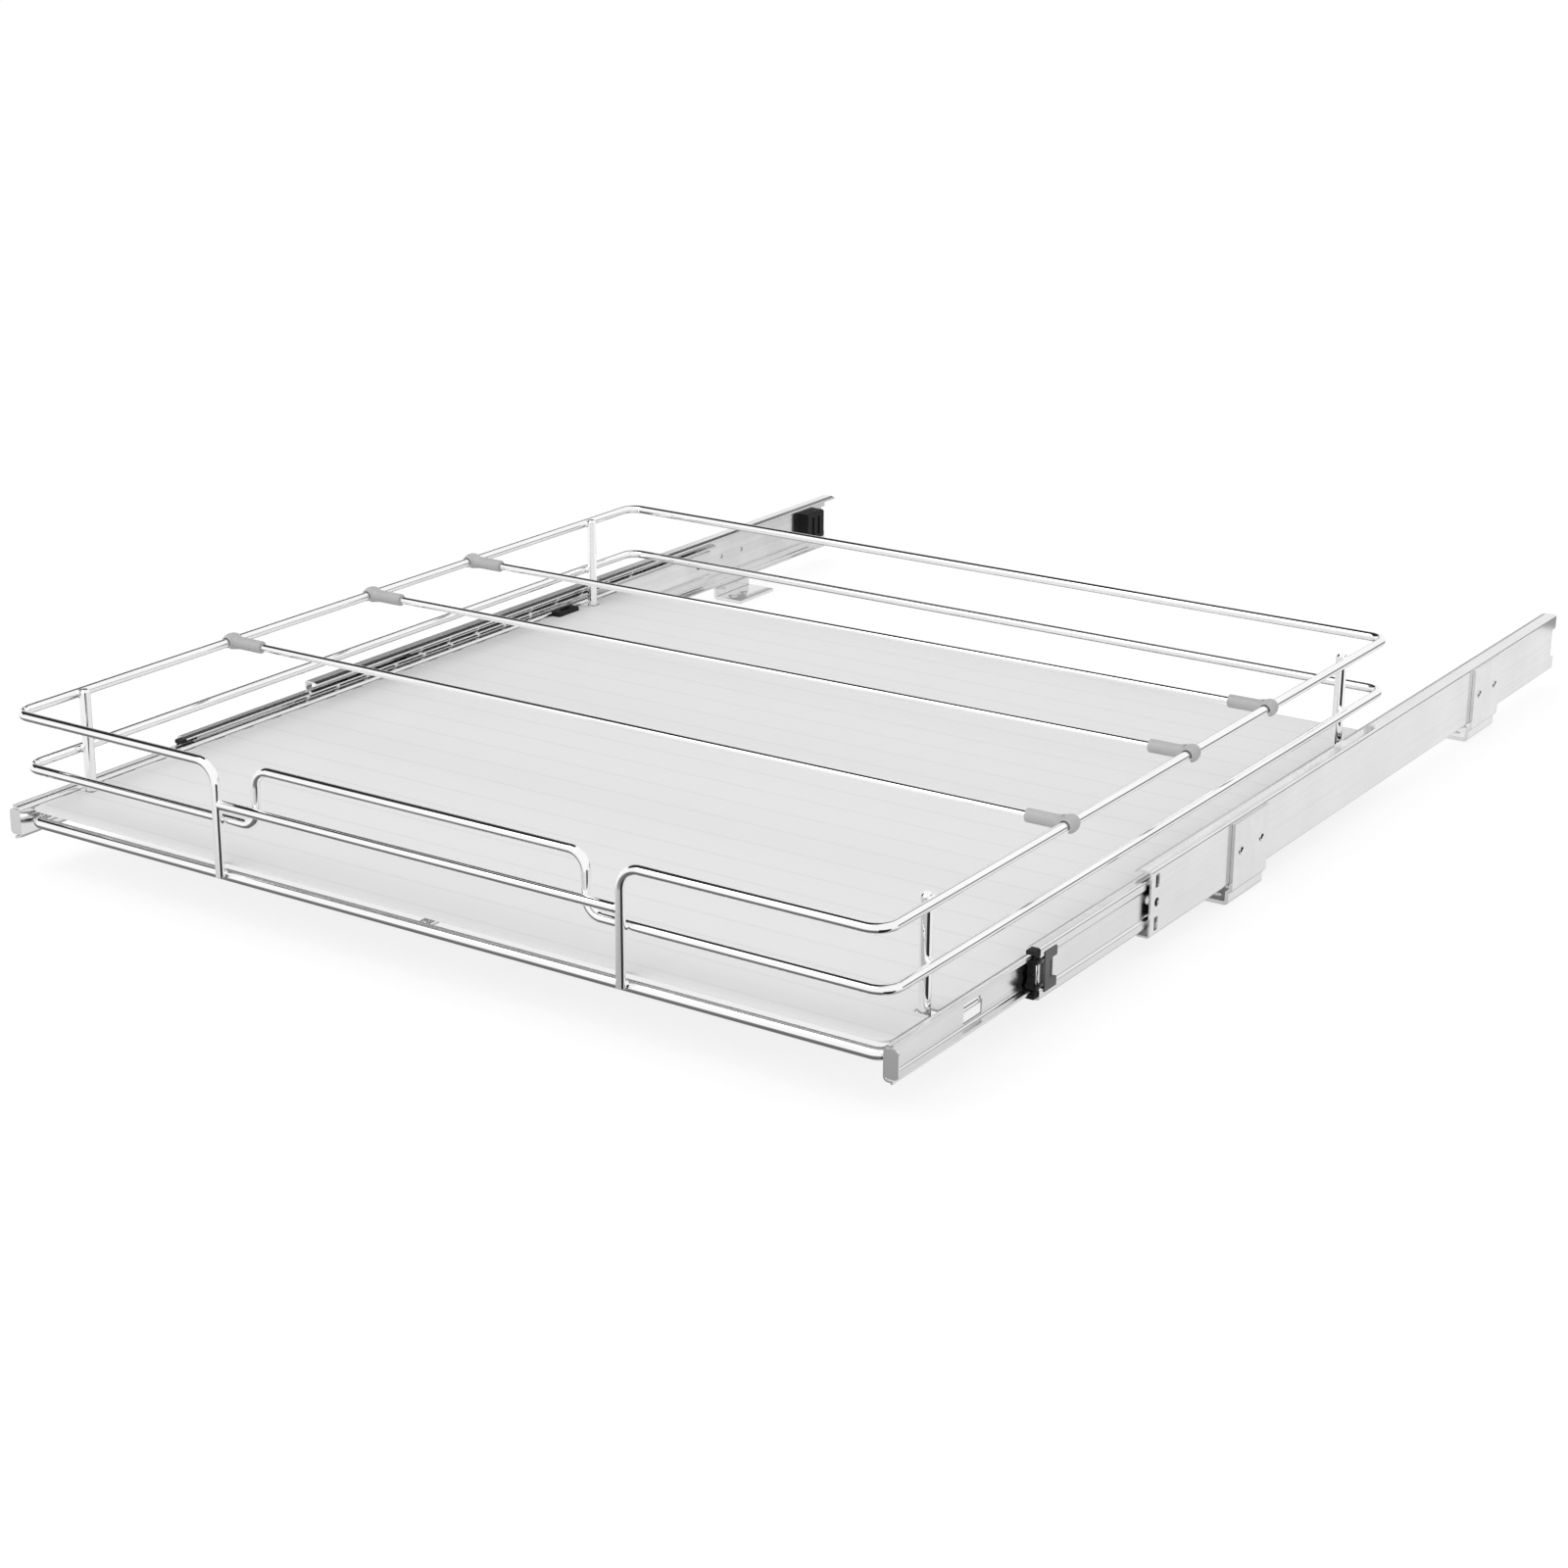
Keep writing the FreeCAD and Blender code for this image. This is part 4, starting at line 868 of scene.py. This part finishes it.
footTable = {
    "setbacks": {"front": 108.5, "rear": 432.0}, "length": 40.0, "drill": 6,
    "rivetPitch": 24.0, "rivet": 1.95, "play": 0.05,
    "plate": 274.0, "sheet": 2.0, "top": 44.5, "reach": 24.5, "bend": (2.5, 0.8), "edge": 0.5,
    "joggle": 2.0, "joggleTop": 9.2, "joggleDrop": 0.6, "joggleBend": (0.9, 0.5),
    "topRound": 0.2, "tipRound": 0.3,
    "screwLine": 263.0, "screw": 2.5, "slotAhead": 12.5, "slotHalf": 2.1, "slotLength": 7.0,
}


def memberPiece(name, kind, side):
    t = memberTable[kind]
    build = bmesh.new()
    loop = profileLoop(fullLoop(*t["outline"]))
    extrudeAlong(build, loop, railPlace(side, t["front"]), 0, t["length"])
    return finishMesh(name, build, "rail")


def keepRail(piece, body, node):
    evenNormals(piece)
    keep(piece, body, node)


def railCutter(side, front, u, v, along):
    place = railPlace(side, front)
    corners = [place(u[i], v[j], along[k]) / mm for i in (0, 1) for j in (0, 1) for k in (0, 1)]
    low = [min(c[n] for c in corners) for n in range(3)]
    high = [max(c[n] for c in corners) for n in range(3)]
    return blockPiece("cut", low, high)


def makeOuterMember(word, side, s, f):
    piece = memberPiece(f"outerMember{word.title()}", "outer", side)
    for rise in (-1, 1):
        middle = rise * s["rise"]
        cutter = railCutter(side, 0, s["through"], (middle - s["tall"] / 2, middle + s["tall"] / 2),
                            (s["setback"] - s["wide"] / 2, s["setback"] + s["wide"] / 2))
        softenEdges(cutter, s["slotRound"], 50, 3)
        combine(piece, cutter)
    centre = railPlace(side)(s["web"], 0, s["setback"]) / mm
    combine(piece, pinPiece("hole", centre, (1, 0, 0), s["hole"], s["drill"]))
    length = memberTable["outer"]["length"]
    notch = railCutter(side, 0, s["through"], (-s["notchHalf"], s["notchHalf"]),
                       (length - s["notch"], length + s["notch"]))
    softenEdges(notch, s["notchRound"], 50, 3)
    combine(piece, notch)
    for setback in f["setbacks"].values():
        for end in (-1, 1):
            centre = railPlace(side)(s["web"], 0, setback + end * f["rivetPitch"] / 2) / mm
            combine(piece, pinPiece("hole", centre, (1, 0, 0), f["rivet"] + f["play"], s["drill"]))
    softenEdges(piece, **railEdge)
    keepRail(piece, "fixed_rails", f"outer_member_{word}")


rearHoleTable = {"web": 6.5, "ahead": 14, "radius": 2.2, "drill": 6}


def makeMiddleMember(word, side, h):
    piece = memberPiece(f"middleMember{word.title()}", "middle", side)
    t = memberTable["middle"]
    centre = railPlace(side, t["front"])(h["web"], 0, t["length"] - h["ahead"]) / mm
    combine(piece, pinPiece("hole", centre, (1, 0, 0), h["radius"], h["drill"]))
    softenEdges(piece, **railEdge)
    keepRail(piece, f"middle_{word}", f"middle_member_{word}")


tabTable = {
    "middles": (74.4, 438.5), "wide": 9.0, "seat": 3.15, "hook": 6.25, "drop": 5.0, "wall": 1.0,
    "tabBend": (1.3, 0.5), "tipRound": 0.3, "windowLong": 16.5, "windowDrop": 9.2, "windowRound": 0.5,
    "through": (-2, 2.5), "flapFrom": 0.5, "flap": 7.8, "flapHalf": 7.0, "flapRound": 2.2,
}


def roundAlong(piece, bend):  # round only the edges that run along the rail
    build = bmesh.new()
    build.from_mesh(piece.data)
    lines = [e for e in build.edges if abs((e.verts[1].co - e.verts[0].co).normalized().y) > 0.9]
    bmesh.ops.bevel(build, geom=lines, offset=bend * mm, segments=6, affect="EDGES", profile=0.5)
    build.to_mesh(piece.data)
    build.free()


def makeInnerMember(word, side, t):
    piece = memberPiece(f"innerMember{word.title()}", "inner", side)
    front = memberTable["inner"]["front"]
    for middle in t["middles"]:
        low = t["seat"] - t["windowDrop"]
        cutter = railCutter(side, front, t["through"], (low, t["seat"]),
                            (middle - t["windowLong"] / 2, middle + t["windowLong"] / 2))
        softenEdges(cutter, t["windowRound"], 50, 3)
        combine(piece, cutter)
        top = t["seat"] + t["wall"]
        hook, tip, tipRound = -t["hook"], top - t["drop"], t["tipRound"]
        outerBend, innerBend = t["tabBend"]
        loop = profileLoop([
            (t["wall"], t["seat"]), (t["wall"], top), (hook - t["wall"], top, outerBend),
            (hook - t["wall"], tip, tipRound), (hook, tip, tipRound), (hook, t["seat"], innerBend)])
        build = bmesh.new()
        extrudeAlong(build, loop, railPlace(side, front), middle - t["wide"] / 2, middle + t["wide"] / 2)
        combine(piece, finishMesh("tab", build, "rail"), "UNION")
    flap = railCutter(side, front, (t["flapFrom"], t["flap"]),
                      (-t["flapHalf"], t["flapHalf"]), (0, t["wall"]))
    roundAlong(flap, t["flapRound"])
    combine(piece, flap, "UNION")
    softenEdges(piece, **railEdge)
    keepRail(piece, "basket", f"inner_member_{word}")


for word, side in sides.items():
    makeOuterMember(word, side, slotTable, footTable)
    makeMiddleMember(word, side, rearHoleTable)
    makeInnerMember(word, side, tabTable)
print("slide members made")


# feet and rivets
def makeFoot(word, side, end, t):
    setback = t["setbacks"][end]
    plate = t["plate"]
    low = plate - t["joggle"]
    sheet = t["sheet"]
    out, tip = plate + sheet, plate + sheet - t["reach"]
    over, under = t["joggleTop"], t["joggleTop"] - t["joggle"]
    drop, topRound, tipRound = t["joggleDrop"], t["topRound"], t["tipRound"]
    outerJoggle, innerJoggle = t["joggleBend"]
    outerBend, innerBend = t["bend"]
    loop = profileLoop([
        (out, t["top"], topRound), (out, over - drop, outerJoggle),
        (low + sheet, under - drop, outerJoggle), (low + sheet, 0, outerBend),
        (tip, 0, tipRound), (tip, sheet, tipRound),
        (low, sheet, innerBend), (low, under, innerJoggle),
        (plate, over, innerJoggle), (plate, t["top"], topRound)])
    build = bmesh.new()
    start = places["railFront"] + setback - t["length"] / 2

    def place(u, v, along):
        return at(side * u, start + along, v)
    extrudeAlong(build, loop, place, 0, t["length"])
    piece = finishMesh(f"foot{end.title()}{word.title()}", build, "plate")
    middle = start + t["length"] / 2
    for near in (-1, 1):
        centre = (side * (plate + sheet / 2), middle + near * t["rivetPitch"] / 2, places["railCentre"])
        combine(piece, pinPiece("hole", centre, (1, 0, 0), t["rivet"] + t["play"], t["drill"]))
    screwLine, half = side * t["screwLine"], t["slotHalf"]
    combine(piece, pinPiece("hole", (screwLine, middle, sheet / 2), (0, 0, 1), t["screw"], t["drill"]))
    slotLine = middle - t["slotAhead"]
    travel = (t["slotLength"] - 2 * half) / 2
    for shift in (-travel, travel):
        spot = (screwLine + shift, slotLine, sheet / 2)
        combine(piece, pinPiece("hole", spot, (0, 0, 1), half, t["drill"]))
    combine(piece, blockPiece("slot", (screwLine - travel, slotLine - half, -sheet),
                              (screwLine + travel, slotLine + half, 2 * sheet)))
    softenEdges(piece, t["edge"], 55)
    keepRail(piece, "fixed_rails", f"foot_{end}_{word}")


rivetTable = {  # tubular, head outside
    "start": 273.0, "grip": 3.0, "bore": 1.5, "shank": 1.95,
    "head": 2.6, "rise": 0.4, "rim": 0.1, "chamfer": 0.3,
}


def makeRivets(t, f):
    under, top = t["grip"], t["grip"] + t["rise"]
    rim, chamfer, bore = under + t["rim"], t["chamfer"], t["bore"]
    outline = [(bore, 0), (t["shank"], 0), (t["shank"], under), (t["head"], under), (t["head"], rim),
               (t["head"] - chamfer, top), (bore + chamfer, top), (bore, rim), (bore, 0)]
    build = bmesh.new()
    for side in (-1, 1):
        turn = Vector((0, 0, 1)).rotation_difference(Vector((side, 0, 0)))
        for setback in f["setbacks"].values():
            for end in (-1, 1):
                spot = at(side * t["start"], places["railFront"] + setback + end * f["rivetPitch"] / 2,
                          places["railCentre"])
                addLathe(build, outline, spot, turn, 36)
    bmesh.ops.remove_doubles(build, verts=build.verts, dist=1e-7)
    piece = finishMesh("footRivets", build, "plate")
    keepRail(piece, "fixed_rails", "foot_rivets")


for word, side in sides.items():
    for end in footTable["setbacks"]:
        makeFoot(word, side, end, footTable)
makeRivets(rivetTable, footTable)
print("feet made")


# ball stages
stageTable = {
    "outer": {"front": 82.625, "length": 237.0, "row": 14.8, "face": 8.7, "arm": 0.6},
    "inner": {"front": -18.375, "length": 230.25, "row": 10.4, "face": 5.7, "arm": 0.5},
}
ballTable = {
    "ball": 1.62, "line": 2.9, "ends": 12.0, "pitch": 25.0, "play": 0.1, "pocketHalf": 1,
    "sheet": 0.4, "edge": 0.5, "tip": 0.1, "bend": (0.7, 0.3),
}


def makeStage(word, side, name, t, b):
    row, face, edge, tip = t["row"], t["face"], b["edge"], b["tip"]
    under, over = row - t["arm"] / 2, row + t["arm"] / 2
    outerBend, innerBend = b["bend"]
    loop = profileLoop(fullLoop(
        [(edge, under, tip), (edge, over, tip), (face, over, outerBend)],
        [(face - b["sheet"], under, innerBend)]))
    build = bmesh.new()
    extrudeAlong(build, loop, railPlace(side, t["front"]), 0, t["length"])
    cage = finishMesh(f"{name}Cage{word.title()}", build, "cage")
    space = t["length"] - 2 * b["ends"]
    count = int(space // b["pitch"]) + 1
    lines = [b["ends"] + space * i / (count - 1) for i in range(count)]
    balls = bmesh.new()
    reach, half = b["ball"] + b["play"], b["pocketHalf"]
    for rise in (-1, 1):
        middle = rise * row
        for line in lines:
            combine(cage, railCutter(side, t["front"], (b["line"] - reach, b["line"] + reach),
                                     (middle - half, middle + half), (line - reach, line + reach)))
            spot = railPlace(side, t["front"])(b["line"], middle, line)
            made = bmesh.ops.create_uvsphere(balls, u_segments=24, v_segments=14, radius=b["ball"] * mm)
            bmesh.ops.translate(balls, verts=made["verts"], vec=spot)
    ballSet = finishMesh(f"{name}Balls{word.title()}", balls, "chrome")
    evenNormals(cage)
    body = f"{name}_cage_{word}"
    keep(cage, body, f"{name}_cage_{word}")
    keep(ballSet, body, f"{name}_balls_{word}")


for word, side in sides.items():
    for name, table in stageTable.items():
        makeStage(word, side, name, table, ballTable)
print("ball stages made")


# stops and latches
stopTable = {
    "front": 517.5, "length": 21.0, "half": 10.0, "face": 2.0, "back": 9,
    "faceRound": 1.6, "backRound": 0.3, "edge": 0.4, "grooves": (5.5, 12.5), "wide": 3, "deep": 1.1, "past": 1, "grooveHalf": 6.5,
}


def makeStop(word, side, t):
    low, high, face = -t["half"], t["half"], t["face"]
    loop = profileLoop([(face, low, t["faceRound"]), (t["back"], low, t["backRound"]),
                        (t["back"], high, t["backRound"]), (face, high, t["faceRound"])])
    build = bmesh.new()
    extrudeAlong(build, loop, railPlace(side, t["front"]), 0, t["length"])
    piece = finishMesh(f"rearStop{word.title()}", build, "black")
    for line in t["grooves"]:
        combine(piece, railCutter(side, t["front"], (face - t["past"], face + t["deep"]),
                                  (-t["grooveHalf"], t["grooveHalf"]), (line, line + t["wide"])))
    softenEdges(piece, t["edge"])
    evenNormals(piece)
    keep(piece, "fixed_rails", f"rear_stop_{word}")


latchTable = {  # lengths count back from the middle member's front end
    "front": -106.25, "nose": -3.0, "bite": 9.0, "edge": 0.25,
    "outline": ([(1.9, 9.75, 0.3), (1.9, 12.0, 0.3), (6.9, 12.0, 0.5), (6.9, 8.614, 0.4),
                 (5.9, 7.614, 0.4)],
                [(2.0, 7.3, 0.3), (5.4, 7.3, 0.3), (5.4, 9.75, 0.3)]),
    "bridge": (5.6, 7.3), "bridgeThick": (4.9, 8.0), "bridgeBack": -0.1,
    "bites": ((8.6, 1.3, 0.1), (2.4, 3.2, 1.5)), "biteLine": 4.4, "drill": 8,
}
coverTable = {
    "plate": (0.9, 15.0), "plateThick": (7.1, 8), "plateHalf": 6.8, "innerRound": 0.4, "outerRound": 0.3,
    "wing": 10.0, "wingFrom": 4.0, "wingRound": 0.2, "waist": 5.2, "tongue": (7.5, 8.05, 8.55), "edge": 0.2,
    "cuts": (  # each is thick, half the height and along
        ((6, 10), 5.4, (10.8, 20)),
        ((6, 8.02), 5.2, (-1, 3.7)),
        ((8.2, 10), 4.2, (8.6, 9.5)),
    ),
}
springTable = {
    "wire": 0.28, "dome": 0.05, "around": 12,
    "centre": (6.2, -0.6), "bow": (1.0, 6.4, 1.6), "turn": 80, "step": 10,
}


def makeLatchBody(word, side, t):
    place = railPlace(side, t["front"])
    build = bmesh.new()
    extrudeAlong(build, profileLoop(fullLoop(*t["outline"]), 4), place, t["nose"], t["bite"])
    body = finishMesh(f"frontLatch{word.title()}", build, "black")
    for rise in (-1, 1):
        bridge = railCutter(side, t["front"], t["bridgeThick"], sorted(rise * v for v in t["bridge"]),
                            (t["nose"], t["bridgeBack"]))
        combine(body, bridge, "UNION")
    for level, radius, ahead in t["bites"]:
        for rise in (-1, 1):
            centre = place(t["biteLine"], rise * level, t["nose"] - ahead) / mm
            combine(body, pinPiece("bite", centre, (1, 0, 0), radius, t["drill"]))
    softenEdges(body, t["edge"])
    return body


def makeLatchCover(word, side, front, t):
    place = railPlace(side, front)
    (start, end), (inner, outer), half = t["plate"], t["plateThick"], t["plateHalf"]
    build = bmesh.new()
    plate = profileLoop([(inner, -half, t["innerRound"]), (outer, -half, t["outerRound"]),
                         (outer, half, t["outerRound"]), (inner, half, t["innerRound"])])
    extrudeAlong(build, plate, place, start, end)
    cover = finishMesh(f"latchPlate{word.title()}", build, "dark")
    build = bmesh.new()
    (foot, neck, top), wing, waist, bend = t["tongue"], t["wing"], t["waist"], t["wingRound"]
    tongue = profileLoop([
        (foot, -waist), (foot, waist), (neck, waist), (neck, wing, bend),
        (top, wing, bend), (top, -wing, bend), (neck, -wing, bend), (neck, -waist)])
    extrudeAlong(build, tongue, place, t["wingFrom"], end)
    combine(cover, finishMesh("tongue", build, "dark"), "UNION")
    for thick, reach, along in t["cuts"]:
        combine(cover, railCutter(side, front, thick, (-reach, reach), along))
    softenEdges(cover, t["edge"])
    return cover


def makeLatchSpring(word, side, front, t):
    place = railPlace(side, front)
    (out, along), (deep, high, ahead) = t["centre"], t["bow"]
    angles = [math.radians(a) for a in range(-t["turn"], t["turn"] + 1, t["step"])]
    bow = [place(out + deep * math.cos(a), high * math.sin(a), along - ahead * math.cos(a)) for a in angles]
    build = bmesh.new()
    addTube(build, bow, t["wire"], dome=t["dome"], around=t["around"])
    return finishMesh(f"latchSpring{word.title()}", build, "chrome")


def makeLatch(word, side):
    body = makeLatchBody(word, side, latchTable)
    cover = makeLatchCover(word, side, latchTable["front"], coverTable)
    spring = makeLatchSpring(word, side, latchTable["front"], springTable)
    for piece in (body, cover, spring):
        evenNormals(piece)
    keep(body, f"middle_{word}", f"front_latch_{word}")
    keep(cover, f"middle_{word}")
    keep(spring, f"middle_{word}")


for word, side in sides.items():
    makeStop(word, side, stopTable)
    makeLatch(word, side)
print("stops and latches made")
